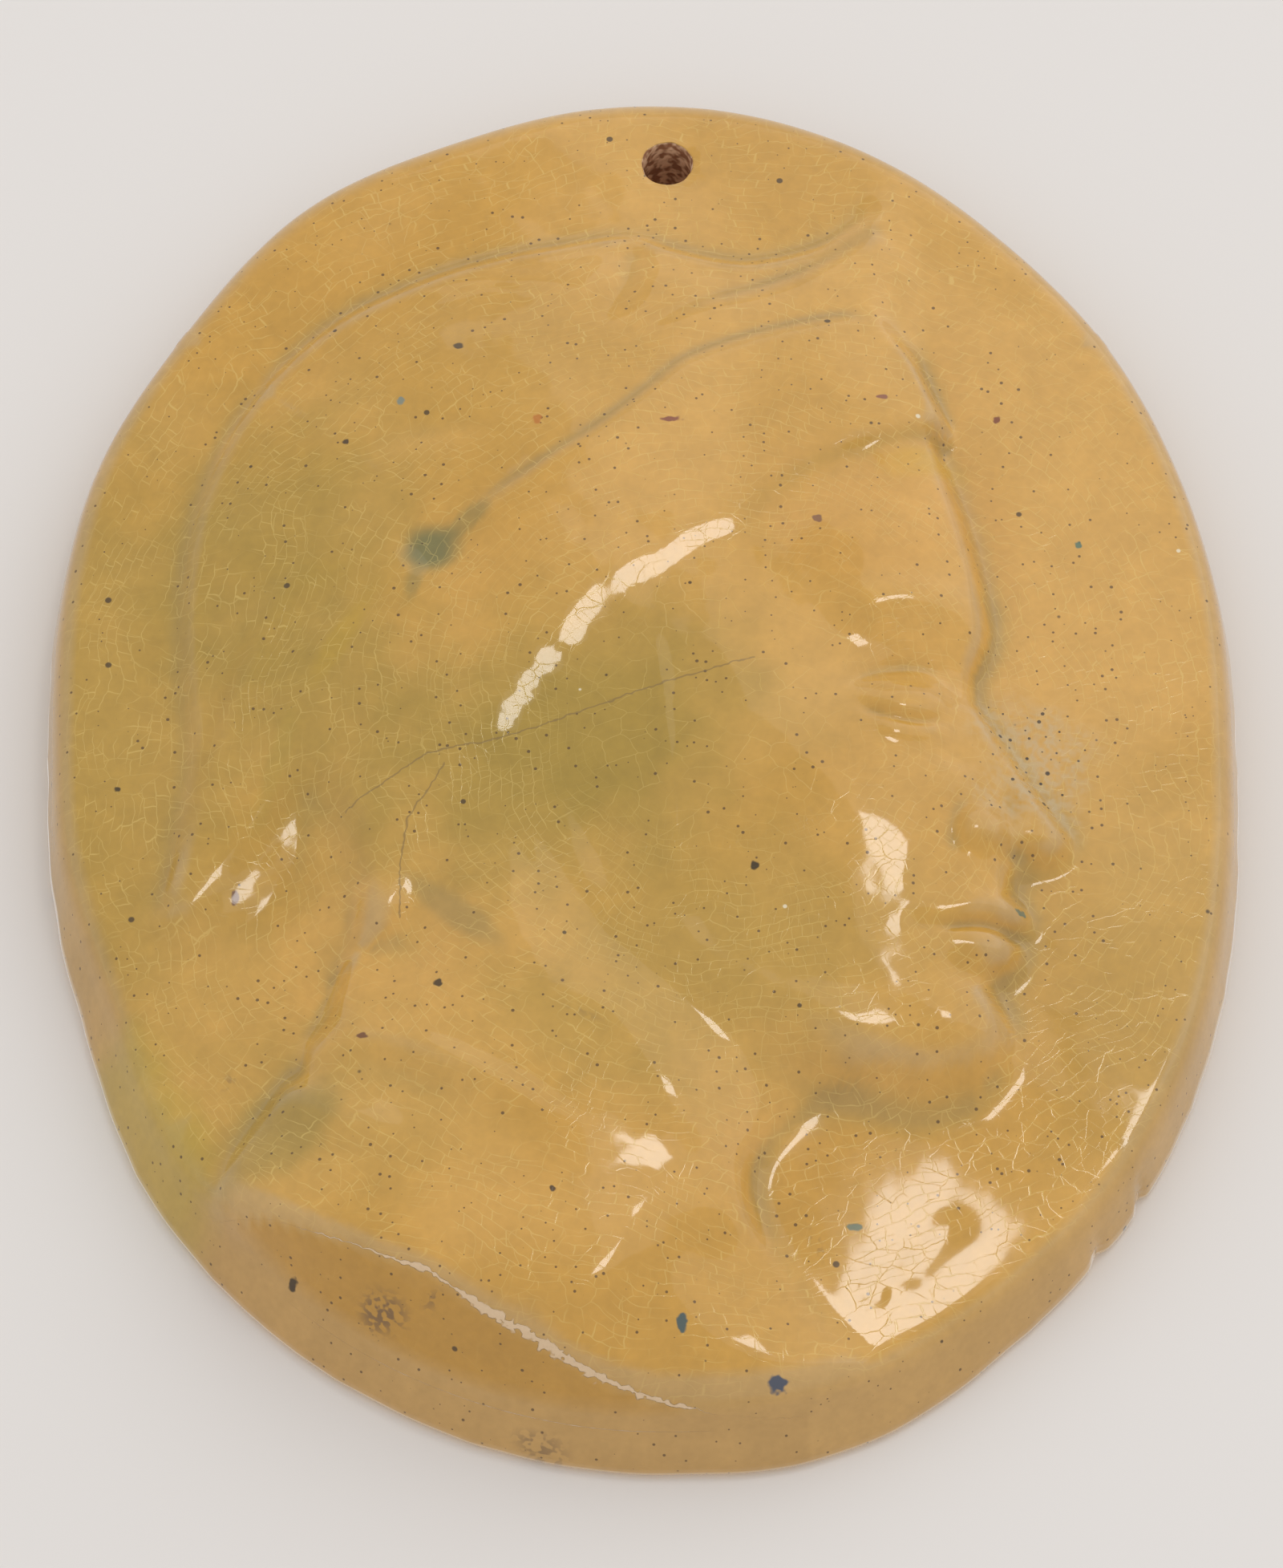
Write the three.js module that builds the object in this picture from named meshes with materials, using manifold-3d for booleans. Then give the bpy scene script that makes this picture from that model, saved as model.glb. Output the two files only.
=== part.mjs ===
// Oval wall plaque of thick glazed earthenware: a low-relief head and shoulder in profile, looking
// right, in a soft folded cap, on a slightly domed field, with one hanging hole near the top.
// Frame: millimetres, +Z up as hung, the front faces -Y, the flat back lies on y = 0, and the
// origin is the centre of the hanging hole on the plane of the back.
import * as THREE from 'three';
import { mergeVertices } from 'three/addons/utils/BufferGeometryUtils.js';
import Module from 'manifold-3d';

// Body.
const plaqueWidth = 196;
const plaqueHeight = 256;
const wallHeight = 9;
const wallDraft = 4;
const sideDraft = 1.6;
const footRound = 0.8;
const edgeRound = 7;
const sideRound = 4;
const fieldThickness = 15;
const fieldDome = 3;
// The field sags and the edge turns more sharply towards the lower right corner.
const cornerDroop = 2.7;
const cornerRound = 3;
// Swelling of the hand-cut outline beyond a true oval, in percent, every 15 degrees from +X.
const outlineSwell = [
  0.19, 1.15, 1.64, 2.92, 2.54, 2.39, 1.92, 1.66, 4.39, 3.47, 3.52, 2.14,
  0.41, 0.38, 0.12, 1.74, 0.66, -0.37, -0.17, 2.18, 1.86, 2.91, 2.6, 1.09,
];

// Hanging hole.
const holeDiameter = 8.5;
const holeDrop = 17.1;
const holeOffset = 4.1;
const holeLip = 0.8;

// Relief, drawn on a sheet whose points are stretched to the plaque.
const sheetWidth = 196;
const sheetHeight = 256;
const stepWidth = 2.3;
const faceThird = 40;
const faceEdge = 2.8;
const faceRise = 6.4;
const featureShare = 0.9;
const bustEdge = 1.6;
const bustRise = 9.5;
const capEdge = 1.4;
const capRise = 9;
const crownHem = 0.5;
const crownWidth = 1.7;
const frontSlack = 6;
const brimStep = 1.35;
const brimWidth = 4;
const jawShade = 2.2;
const shoulderHeight = 26;
const chestFall = 6;
// How far in from the rim the shoulder's cut edge lies, by angle in degrees.
const cutEdge = [
  [-131, 0], [-127, 0.9], [-122, 5], [-115, 8.6], [-108, 10.6], [-100, 8.8], [-95, 8], [-91, 6.5],
  [-88, 4.5], [-84, 2], [-78, 0],
];

// Mesh.
const gridCells = 256;
const frontTriangles = 7400;
const softening = 2;
const holeSides = 24;

// Face profile and jaw on a three-thirds canon: brow, nose and chin each one third of the face,
// in thirds measured from the foot of the chin.
const chin = [56, -68];
const profilePoints = [
  [-0.2, 3.05], [-0.07, 2.6], [0, 2.25], [0.015, 2.05], [-0.055, 1.84], [0, 1.66], [0.13, 1.42],
  [0.27, 1.2], [0.31, 1.11], [0.26, 1.035], [0.12, 0.985], [0.08, 0.87], [0.13, 0.775],
  [0.12, 0.71], [0.068, 0.672], [0.1, 0.625], [0.085, 0.55], [0, 0.43], [0.05, 0.27],
  [0.03, 0.13], [-0.08, 0.01],
];
const jawPoints = [
  [-0.08, 0.01], [-0.33, -0.03], [-0.72, 0.1], [-1.12, 0.3], [-1.45, 0.58], [-1.66, 0.95],
  [-1.83, 1.35], [-2.05, 1.8],
];
const corePoints = [
  [-0.5, 3.6], [-0.2, 3.05], [0, 2.25], [0, 1.7], [0.05, 1.2], [0.07, 0.75], [0, 0.3],
  [-0.06, -0.2], [-0.1, -0.9],
];
const faceBack = [[-26, 20], [0, 40], [30, 58]];

// Cap, neck and shoulder.
const brimPoints = [
  [51, 54.5], [41, 50.5], [33, 46], [25, 40], [16, 33], [8, 28], [-2, 21], [-11, 12], [-18, 2],
  [-24, -8], [-31, -16], [-36, -25], [-38.5, -34], [-40, -44],
];
const napePoints = [
  [-40, -44], [-46, -44], [-49, -30], [-54, -17], [-62, -27], [-68, -36], [-73, -40], [-78, -38],
];
const crownPoints = [
  [-78, -38], [-76, -22], [-74, -7], [-76, 14], [-75.5, 31], [-73, 44], [-68, 57], [-61, 68],
  [-51, 78], [-39, 85], [-27, 90], [-14, 93], [-2, 95], [6, 92], [17, 89.5], [28, 92],
  [35, 96.5], [41.5, 102.5],
];
const frontPoints = [[41.5, 102.5], [42.6, 90], [42.8, 77], [46.8, 65.5], [51, 54.5]];
const throatPoints = [
  [44, -64], [31, -70], [22, -76], [17.5, -84], [19, -93], [26, -105], [36, -115], [47, -124],
  [60, -140],
];
const backPoints = [
  [-84, -104], [-72, -92], [-69, -86], [-64, -77], [-58.5, -69], [-55, -65.5], [-54, -61],
  [-50.5, -55.5], [-47, -46], [-44, -34], [-40, -20],
];

const clamp = (v, lo, hi) => Math.min(Math.max(v, lo), hi);
const ease = (v, lo, hi) => {
  const t = clamp((v - lo) / (hi - lo), 0, 1);
  return t * t * (3 - 2 * t);
};
const rise = (d, reach) => 1 - Math.exp(-d / reach);
const softMax = (a, b, k) => {
  const h = clamp(0.5 + (0.5 * (a - b)) / k, 0, 1);
  return b * (1 - h) + a * h + k * h * (1 - h);
};
const softMin = (a, b, k) => -softMax(-a, -b, k);

function throughPoint(a, b, c, d, t) {
  const t2 = t * t;
  const t3 = t2 * t;
  return 0.5 * (2 * b + (c - a) * t + (2 * a - 5 * b + 4 * c - d) * t2 + (3 * b - a - 3 * c + d) * t3);
}

// A smooth line through the given points, eight pieces to a span.
function smoothLine(points) {
  const line = [];
  const last = points.length - 1;
  for (let i = 0; i < last; i += 1) {
    const b = points[i];
    const c = points[i + 1];
    const a = i > 0 ? points[i - 1] : [2 * b[0] - c[0], 2 * b[1] - c[1]];
    const d = i + 2 <= last ? points[i + 2] : [2 * c[0] - b[0], 2 * c[1] - b[1]];
    for (let k = 0; k < 8; k += 1) {
      const t = k / 8;
      line.push([throughPoint(a[0], b[0], c[0], d[0], t), throughPoint(a[1], b[1], c[1], d[1], t)]);
    }
  }
  line.push(points[last]);
  return line;
}

// Distance to a line, the side of it (+1 on the left of travel) and the share of its length.
function measure(line) {
  const pieces = [];
  let length = 0;
  for (let i = 0; i + 1 < line.length; i += 1) {
    const ex = line[i + 1][0] - line[i][0];
    const ez = line[i + 1][1] - line[i][1];
    const size = Math.hypot(ex, ez);
    pieces.push([line[i][0], line[i][1], ex, ez, size, length]);
    length += size;
  }
  return (x, z) => {
    let best = Infinity;
    let side = 1;
    let share = 0;
    for (const [ax, az, ex, ez, size, before] of pieces) {
      const t = clamp(((x - ax) * ex + (z - az) * ez) / (size * size), 0, 1);
      const dx = x - ax - t * ex;
      const dz = z - az - t * ez;
      const d = dx * dx + dz * dz;
      if (d < best) {
        best = d;
        side = ex * dz - ez * dx < 0 ? -1 : 1;
        share = (before + t * size) / length;
      }
    }
    return { distance: Math.sqrt(best), side, share };
  };
}

function within(x, z, line) {
  let odd = false;
  for (let i = 0, j = line.length - 1; i < line.length; j = i, i += 1) {
    const [ax, az] = line[j];
    const [bx, bz] = line[i];
    if (az > z !== bz > z && x < ((bx - ax) * (z - az)) / (bz - az) + ax) {
      odd = !odd;
    }
  }
  return odd;
}

// A modelled ridge, groove, fold or ledge along a line, fading over its first and last shares.
function stroke(points, width, height, kind = 'round', start = 0.3, end = 0.3) {
  const line = smoothLine(points);
  const at = measure(line);
  const xs = line.map((p) => p[0]);
  const zs = line.map((p) => p[1]);
  const reach = (kind === 'ledge' ? 14 : 4) * width;
  const [left, right] = [Math.min(...xs) - reach, Math.max(...xs) + reach];
  const [foot, head] = [Math.min(...zs) - reach, Math.max(...zs) + reach];
  return (x, z) => {
    if (x < left || x > right || z < foot || z > head) {
      return 0;
    }
    const { distance, side, share } = at(x, z);
    const v = (distance * side) / width;
    const ledge = ease(v, -0.8, 0.8) * Math.exp(-((Math.max(v, 0) / 6) ** 2));
    const shape = kind === 'ledge' ? ledge : Math.exp(-v * v);
    const fadeIn = start > 0 ? ease(share, 0, start) : 1;
    const fadeOut = end > 0 ? ease(1 - share, 0, end) : 1;
    return height * shape * fadeIn * fadeOut;
  };
}

// A soft mound or hollow.
function mound(cx, cz, rx, rz, height, turn = 0) {
  const c = Math.cos((turn * Math.PI) / 180);
  const s = Math.sin((turn * Math.PI) / 180);
  return (x, z) => {
    const u = ((x - cx) * c + (z - cz) * s) / rx;
    const v = (-(x - cx) * s + (z - cz) * c) / rz;
    return height * Math.exp(-(u * u + v * v));
  };
}

const total = (marks, x, z) => marks.reduce((sum, mark) => sum + mark(x, z), 0);
const onFace = (points) => points.map(([x, z]) => [chin[0] + faceThird * x, chin[1] + faceThird * z]);

const faceMarks = [
  mound(44, 5, 11, 6.5, -2.4),
  mound(52.8, 2, 4.5, 6, -1.8),
  mound(43.5, -0.8, 8, 5.6, 2.6),
  stroke([[57, 13.5], [50, 17.5], [40, 18], [30, 13]], 4.2, 1.4),
  stroke([[51, 3.5], [45, 6.2], [37, 4.2], [32.5, 0]], 1.2, -0.8),
  stroke([[51, -2.6], [45, -5.4], [37.5, -4.2], [32.5, -1]], 0.95, -1.1),
  stroke([[50, -5.2], [44, -8], [37, -6.6]], 1.7, 0.6),
  stroke([[54, 4], [58.5, -7], [62.5, -18], [64.5, -23]], 3, 1),
  mound(63.5, -22.5, 5, 4.4, 1.6),
  mound(55.8, -24, 4.8, 4.2, 2.4),
  stroke([[54, -17.5], [50.5, -21], [49.7, -26], [52.5, -29.5]], 1.4, -1.2),
  mound(60.5, -27.2, 3, 1.3, -1.5, 10),
  stroke([[51.5, 0], [51.5, -8], [51, -15]], 4, -1),
  mound(29, -15, 22, 15, 2.4, -25),
  stroke([[51, -25], [47.5, -32], [44.5, -39]], 2.4, -0.7),
  stroke([[62, -38.2], [55, -37.6], [48, -40]], 2.2, 1.3, 'round', 0, 0.5),
  stroke([[61, -41.3], [55, -40.8], [49.5, -41.8], [45.5, -42.6]], 0.95, -1.5, 'round', 0, 0.3),
  stroke([[61, -45], [55, -45.3], [49, -43.8]], 2.4, 1.4, 'round', 0, 0.5),
  stroke([[58, -50.6], [52, -50.2], [46, -48.2]], 2.8, -1.2, 'round', 0.1, 0.5),
  mound(45.2, -42.4, 2.4, 2.2, -0.9),
  mound(51.5, -59, 7.5, 6.5, 2),
  stroke([[46, -64], [28, -60], [11, -52], [0, -40], [-6, -28]], 5, 1.2),
  mound(22, 24, 13, 14, -1),
  mound(38, 33, 18, 14, 1.4),
];

const bustMarks = [
  stroke(
    [[-50, -56], [-44, -61], [-37, -64.5], [-31, -68], [-20, -74.5], [-5, -83]],
    3.2, 1.2, 'round', 0.08, 0.6,
  ),
  stroke([[-47, -63], [-38, -70], [-25, -78]], 4, -0.9, 'round', 0.2, 0.6),
  stroke([[-59, -69], [-51, -74], [-42, -79.5], [-33, -84]], 3.4, 1.1, 'round', 0.08, 0.5),
  stroke([[-10, -46], [4, -70], [22, -98]], 6, 1.2),
  mound(-34, -42, 10, 9, 1.6),
];

const capMarks = [
  stroke(
    [[-46, 34], [-52, 27.5], [-60, 18], [-65, 6], [-69, -9], [-73, -25], [-77, -36]],
    3, 0.9, 'round', 0.35, 0.1,
  ),
  stroke(
    [[-43, 32], [-50, 24], [-57, 14], [-62, 2], [-66.5, -12], [-71, -27]],
    3.4, -0.5, 'round', 0.35, 0.25,
  ),
  stroke(
    [
      [42, 75], [33, 75], [27, 73.3], [17, 70], [7, 65], [0, 58], [-8, 50.5], [-15, 45], [-21, 40],
      [-29, 34], [-35, 27],
    ],
    2.2, 1, 'ledge', 0.15, 0.16,
  ),
  mound(-34.5, 28, 5.5, 6.5, -1.2, 30),
  mound(-74, -38, 7, 7, 1.3),
  mound(-46, -22, 5, 5, 0.7),
  mound(-41, -38, 7, 6, 1.1),
  stroke([[40, 97], [27, 85.5], [19, 81.5], [10, 78], [0, 71], [-8, 63]], 2.4, 0.9, 'ledge', 0.05, 0.6),
  stroke([[-1, 97], [-2.5, 86], [-4.5, 78], [-7, 71]], 2.8, -1.5, 'round', 0.3, 0.6),
  stroke([[-54, 68], [-47, 76], [-39, 81], [-27, 85], [-19, 84], [-10, 81]], 2.4, 0.5),
  stroke([[-51, 46], [-42, 50], [-32, 52], [-22, 53]], 3, -0.8),
];

const profileLine = smoothLine(onFace(profilePoints));
const jawLine = smoothLine(onFace(jawPoints));
const brimLine = smoothLine(brimPoints);
const napeLine = smoothLine(napePoints);
const crownLine = smoothLine(crownPoints);
const frontLine = smoothLine(frontPoints);
const throatLine = smoothLine(throatPoints);
const backLine = smoothLine(backPoints);
const faceShape = [...profileLine, ...jawLine, ...faceBack];
const bustShape = [...throatLine, [60, -140], [-60, -140], ...backLine, [-30, 0], [10, 0], [30, -30]];
const capShape = [...brimLine, ...napeLine, ...crownLine, ...frontLine];
const toProfile = measure(profileLine);
const toJaw = measure(jawLine);
const toCore = measure(smoothLine(onFace(corePoints)));
const toBrim = measure(brimLine);
const toNape = measure(napeLine);
const toCrown = measure(crownLine);
const toFront = measure(frontLine);
const toThroat = measure(throatLine);
const toBack = measure(backLine);

// Radius of the plaque's foot at an angle from +X.
function outlineRadius(angle) {
  const a = plaqueWidth / 2;
  const b = plaqueHeight / 2;
  const oval = 1 / Math.hypot(Math.cos(angle) / a, Math.sin(angle) / b);
  const count = outlineSwell.length;
  const place = (((angle / (2 * Math.PI)) % 1) + 1) * count;
  const i = Math.floor(place);
  const [p, q, r, s] = [-1, 0, 1, 2].map((k) => outlineSwell[(i + k) % count]);
  return oval * (1 + throughPoint(p, q, r, s, place - i) / 100);
}

// The wall leans in above and below and stands nearly upright at the sides.
function leaning(angle) {
  const degrees = (Math.atan2(Math.sin(angle), Math.cos(angle)) * 180) / Math.PI;
  const under = ease(-degrees, 45, 75) * ease(180 + degrees, 8, 35);
  const over = ease(degrees, 25, 60) * ease(180 - degrees, 25, 60);
  return Math.max(under, over);
}

// Radius of the wall's upper edge.
function edgeRadius(angle) {
  return outlineRadius(angle) - sideDraft - (wallDraft - sideDraft) * leaning(angle);
}

// Height of the relief above the field on the drawing sheet.
function reliefHeight(x, z, fieldHeight) {
  const profile = toProfile(x, z).distance;
  const jaw = toJaw(x, z).distance;
  const coreAt = toCore(x, z);
  const core = coreAt.side < 0 ? coreAt.distance : -coreAt.distance;
  const inFace = within(x, z, faceShape);
  const faceDepth = (inFace ? 1 : -1) * Math.min(profile, jaw);
  const soft = jaw < 1e-6 ? 1 : profile / (profile + jaw);
  const jawDepth = Math.max((inFace ? jaw : -jaw) + 7, 0);
  const face = faceEdge + faceRise * rise(Math.max(core + 1.5, 0), 8.5) * rise(jawDepth, 9)
    + featureShare * total(faceMarks, x, z);
  const faceShare = ease(faceDepth, -stepWidth - 4.5 * soft, 2 + 4 * soft);

  const throat = toThroat(x, z).distance;
  const back = toBack(x, z).distance;
  const bustDepth = (within(x, z, bustShape) ? 1 : -1) * Math.min(throat, back);
  const chest = ease(-z, 90, 106) * ease(x, -6, 16);
  const bustForm = bustRise * rise(throat, 11 + 15 * chest) * rise(back, 12);
  const bust = bustEdge - 1.1 * chest + bustForm + total(bustMarks, x, z);
  const underJaw = -jawShade * Math.exp(-(((faceDepth + 5) / 5) ** 2)) * ease(core, -2, 12);
  const bustShare = ease(bustDepth, 0.2 - stepWidth, stepWidth);
  const low = (bust + underJaw) * bustShare;

  const crown = toCrown(x, z).distance;
  const front = toFront(x, z).distance;
  const nape = toNape(x, z).distance;
  const brim = toBrim(x, z).distance;
  const hard = Math.min(crown, front, brim);
  const capDepth = (within(x, z, capShape) ? 1 : -1) * Math.min(hard, nape);
  const slack = hard / (hard + nape + 1e-6);
  const plainCap = capEdge + capRise * rise(crown, 24) * rise(front + 8, 12) * rise(nape + 7, 12);
  const hem = crownHem * Math.exp(-(((crown - 1.8) / 1.5) ** 2));
  const cap = plainCap + hem + total(capMarks, x, z);
  const atBrim = Math.min(crown, front) / (Math.min(crown, front) + brim + 1e-6);
  const atFront = crown / (crown + front + 1e-6);
  const smoothFront = frontSlack * atFront * ease(z, 66, 80) * Math.exp(-((front / 10) ** 2));
  const turnedUp = brimWidth - 2 * ease(x, 12, 34);
  const half = crownWidth + (turnedUp - crownWidth) * atBrim + 6 * slack + smoothFront;
  const capShare = ease(capDepth, 0.2 - half, half);

  // Under the brim the head lies one low step below the cap.
  const near = Math.exp(-((brim / 13) ** 2)) * ease(profile, 3, 14);
  const tucked = near * Math.max(faceShare, bustShare);
  const flesh = (low * (1 - faceShare) + face * faceShare) * (1 - tucked)
    + (plainCap - brimStep) * tucked;
  return fieldHeight + flesh * (1 - capShare) + cap * capShare;
}

function cutReach(degrees) {
  for (let i = 0; i + 1 < cutEdge.length; i += 1) {
    const [from, a] = cutEdge[i];
    const [to, b] = cutEdge[i + 1];
    if (degrees >= from && degrees < to) {
      return a + ((b - a) * (degrees - from)) / (to - from);
    }
  }
  return 0;
}

// Height of the front above the plane of the back, at a share of the way out at an angle.
function frontHeight(angle, out) {
  const edge = edgeRadius(angle);
  const inset = edge * (1 - out);
  const x = (edge * out * Math.cos(angle) * sheetWidth) / plaqueWidth;
  const z = (edge * out * Math.sin(angle) * sheetHeight) / plaqueHeight;
  const degrees = (Math.atan2(Math.sin(angle), Math.cos(angle)) * 180) / Math.PI;
  const sagging = Math.max(1 - inset / 56, 0) ** 2 * Math.exp(-(((degrees + 60) / 18) ** 2));
  const fieldHeight = fieldThickness + fieldDome * (1 - out * out) - cornerDroop * sagging;
  let top = reliefHeight(x, z, fieldHeight);
  // The chest rolls off to the rim below, and the shoulder ends in a cut face at the lower left.
  const below = ease(-degrees, 35, 60) * ease(180 + degrees, 55, 80);
  const fallAway = 0.95 - 0.6 * ease(degrees, -100, -88);
  const rolled = softMin(top, wallHeight + chestFall + 1.5 + fallAway * inset, 3);
  top = top * (1 - below) + rolled * below;
  const reach = cutReach(degrees);
  if (reach > 0.05) {
    const share = Math.max(inset, 0) / reach;
    top = softMin(top, wallHeight + 1 + (shoulderHeight - wallHeight - 1) * share, 1);
  }
  const wideRound = sideRound + (edgeRound - sideRound) * leaning(angle);
  const sharper = Math.exp(-(((degrees + 48) / 34) ** 2));
  const ownRound = wideRound - (wideRound - cornerRound) * sharper;
  const t = 1 - inset / ownRound;
  const k = Math.min(0.5 * (t + Math.hypot(t, 0.2)), 1);
  const fall = 1 - Math.sqrt(Math.max(1 - 0.985 * k * k, 0));
  return top - (Math.min(top, fieldThickness + 2) - wallHeight) * fall;
}

// The square grid's point as an angle and a share of the way out.
function onDisc(u, v) {
  const out = Math.max(Math.abs(u), Math.abs(v));
  if (out === 0) {
    return [0, 0];
  }
  if (Math.abs(u) >= Math.abs(v)) {
    return [(u > 0 ? 0 : Math.PI) + (Math.PI / 4) * (v / u), out];
  }
  return [(v > 0 ? Math.PI / 2 : -Math.PI / 2) - (Math.PI / 4) * (u / v), out];
}

const side = gridCells + 1;
const at = (i, j) => j * side + i;
const gridX = new Float64Array(side * side);
const gridZ = new Float64Array(side * side);
let gridH = new Float64Array(side * side);
for (let j = 0; j < side; j += 1) {
  for (let i = 0; i < side; i += 1) {
    const [angle, out] = onDisc((2 * i) / gridCells - 1, (2 * j) / gridCells - 1);
    const reach = edgeRadius(angle) * out;
    gridX[at(i, j)] = reach * Math.cos(angle);
    gridZ[at(i, j)] = reach * Math.sin(angle);
    gridH[at(i, j)] = frontHeight(angle, out);
  }
}

// The glaze softens every edge: each inner point moves towards the mean of its neighbours.
for (let pass = 0; pass < softening; pass += 1) {
  const soft = gridH.slice();
  for (let j = 1; j < gridCells; j += 1) {
    for (let i = 1; i < gridCells; i += 1) {
      const near = gridH[at(i - 1, j)] + gridH[at(i + 1, j)] + gridH[at(i, j - 1)] + gridH[at(i, j + 1)];
      soft[at(i, j)] = 0.5 * gridH[at(i, j)] + 0.125 * near;
    }
  }
  gridH = soft;
}

// How far the surface at a midpoint stands off the straight line between two grid points.
function standOff(ax, ay, bx, by) {
  const mx = (ax + bx) >> 1;
  const my = (ay + by) >> 1;
  const [a, b, m] = [at(ax, ay), at(bx, by), at(mx, my)];
  const dx = gridX[m] - (gridX[a] + gridX[b]) / 2;
  const dz = gridZ[m] - (gridZ[a] + gridZ[b]) / 2;
  const dh = gridH[m] - (gridH[a] + gridH[b]) / 2;
  if (mx === 0 || my === 0 || mx === gridCells || my === gridCells) {
    return Math.hypot(dx, dz, dh);
  }
  return Math.abs(dh);
}

// Right-triangle halving: the error stored at a midpoint covers every finer midpoint below it.
const errors = new Float64Array(side * side);
const levels = [];
function gather(ax, ay, bx, by, cx, cy, depth) {
  if (Math.abs(ax - cx) + Math.abs(ay - cy) <= 1) {
    return;
  }
  if (!levels[depth]) {
    levels[depth] = [];
  }
  levels[depth].push([ax, ay, bx, by, cx, cy]);
  const mx = (ax + bx) >> 1;
  const my = (ay + by) >> 1;
  gather(cx, cy, ax, ay, mx, my, depth + 1);
  gather(bx, by, cx, cy, mx, my, depth + 1);
}
gather(0, 0, gridCells, gridCells, gridCells, 0, 0);
gather(gridCells, gridCells, 0, 0, 0, gridCells, 0);
for (let depth = levels.length - 1; depth >= 0; depth -= 1) {
  for (const [ax, ay, bx, by, cx, cy] of levels[depth]) {
    const mx = (ax + bx) >> 1;
    const my = (ay + by) >> 1;
    const m = at(mx, my);
    let error = Math.max(errors[m], standOff(ax, ay, bx, by));
    if (depth + 1 < levels.length) {
      error = Math.max(error, errors[at((ax + cx) >> 1, (ay + cy) >> 1)]);
      error = Math.max(error, errors[at((bx + cx) >> 1, (by + cy) >> 1)]);
    }
    errors[m] = error;
  }
}

function triangulate(limit) {
  const faces = [];
  const split = (ax, ay, bx, by, cx, cy) => {
    const mx = (ax + bx) >> 1;
    const my = (ay + by) >> 1;
    if (Math.abs(ax - cx) + Math.abs(ay - cy) > 1 && errors[at(mx, my)] > limit) {
      split(cx, cy, ax, ay, mx, my);
      split(bx, by, cx, cy, mx, my);
    } else {
      faces.push([at(ax, ay), at(bx, by), at(cx, cy)]);
    }
  };
  split(0, 0, gridCells, gridCells, gridCells, 0);
  split(gridCells, gridCells, 0, 0, 0, gridCells);
  return faces;
}

let low = 0.001;
let high = 5;
for (let step = 0; step < 22; step += 1) {
  const middle = (low + high) / 2;
  if (triangulate(middle).length > frontTriangles) {
    low = middle;
  } else {
    high = middle;
  }
}
const frontFaces = triangulate(high);

// Points of the solid, front first.
const centreDrop = plaqueHeight / 2 - holeDrop;
const points = [];
const faces = [];
const addPoint = (x, z, h) => points.push([x - holeOffset, -h, z - centreDrop]) - 1;
const used = new Map();
const front = (m) => {
  if (!used.has(m)) {
    used.set(m, addPoint(gridX[m], gridZ[m], gridH[m]));
  }
  return used.get(m);
};
for (const [a, b, c] of frontFaces) {
  const turn = (gridX[b] - gridX[a]) * (gridZ[c] - gridZ[a]) - (gridZ[b] - gridZ[a]) * (gridX[c] - gridX[a]);
  faces.push(turn > 0 ? [front(a), front(b), front(c)] : [front(a), front(c), front(b)]);
}

// Border points in order of angle.
const border = [];
for (const m of used.keys()) {
  const i = m % side;
  const j = Math.floor(m / side);
  if (i === 0 || j === 0 || i === gridCells || j === gridCells) {
    const [angle] = onDisc((2 * i) / gridCells - 1, (2 * j) / gridCells - 1);
    border.push([(angle + 2 * Math.PI) % (2 * Math.PI), used.get(m)]);
  }
}
border.sort((p, q) => p[0] - q[0]);
const angles = border.map((p) => p[0]);

const ring = (radius, h) => angles.map((a) => addPoint(radius(a) * Math.cos(a), radius(a) * Math.sin(a), h));
const rings = [
  border.map((p) => p[1]),
  ring((a) => outlineRadius(a), footRound),
  ring((a) => outlineRadius(a) - footRound, 0),
];
for (let k = 0; k + 1 < rings.length; k += 1) {
  for (let i = 0; i < angles.length; i += 1) {
    const n = (i + 1) % angles.length;
    const [a, b, c, d] = [rings[k][i], rings[k][n], rings[k + 1][n], rings[k + 1][i]];
    faces.push([a, c, b], [a, d, c]);
  }
}
const hub = addPoint(0, 0, 0);
const inner = rings[rings.length - 1];
for (let i = 0; i < inner.length; i += 1) {
  faces.push([hub, inner[(i + 1) % inner.length], inner[i]]);
}

const body = new THREE.BufferGeometry();
body.setAttribute('position', new THREE.Float32BufferAttribute(points.flat(), 3));
body.setIndex(faces.flat());

// The hanging hole runs straight back from a softened mouth in the front.
const mouthAngle = Math.atan2(centreDrop, holeOffset);
const mouthOut = Math.hypot(centreDrop, holeOffset) / edgeRadius(mouthAngle);
const mouthHeight = frontHeight(mouthAngle, mouthOut);
const holeRadius = holeDiameter / 2;
const drill = new THREE.LatheGeometry([
  new THREE.Vector2(0, -20),
  new THREE.Vector2(holeRadius, -20),
  new THREE.Vector2(holeRadius, mouthHeight - holeLip - 0.6),
  new THREE.Vector2(holeRadius + holeLip + 0.3, mouthHeight + 0.3),
  new THREE.Vector2(holeRadius + holeLip + 0.3, mouthHeight + 20),
  new THREE.Vector2(0, mouthHeight + 20),
], holeSides);
drill.rotateX(Math.PI);

const wasm = await Module();
wasm.setup();
function toSolid(geometry) {
  const bare = geometry.clone();
  bare.deleteAttribute('normal');
  bare.deleteAttribute('uv');
  const joined = mergeVertices(bare, 1e-4);
  const mesh = new wasm.Mesh({
    numProp: 3,
    vertProperties: new Float32Array(joined.attributes.position.array),
    triVerts: new Uint32Array(joined.index.array),
  });
  return new wasm.Manifold(mesh);
}
const pierced = toSolid(body).subtract(toSolid(drill)).getMesh();
const geometry = new THREE.BufferGeometry();
geometry.setAttribute('position', new THREE.Float32BufferAttribute(pierced.vertProperties, 3));
geometry.setIndex(Array.from(pierced.triVerts));
geometry.computeVertexNormals();

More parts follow.
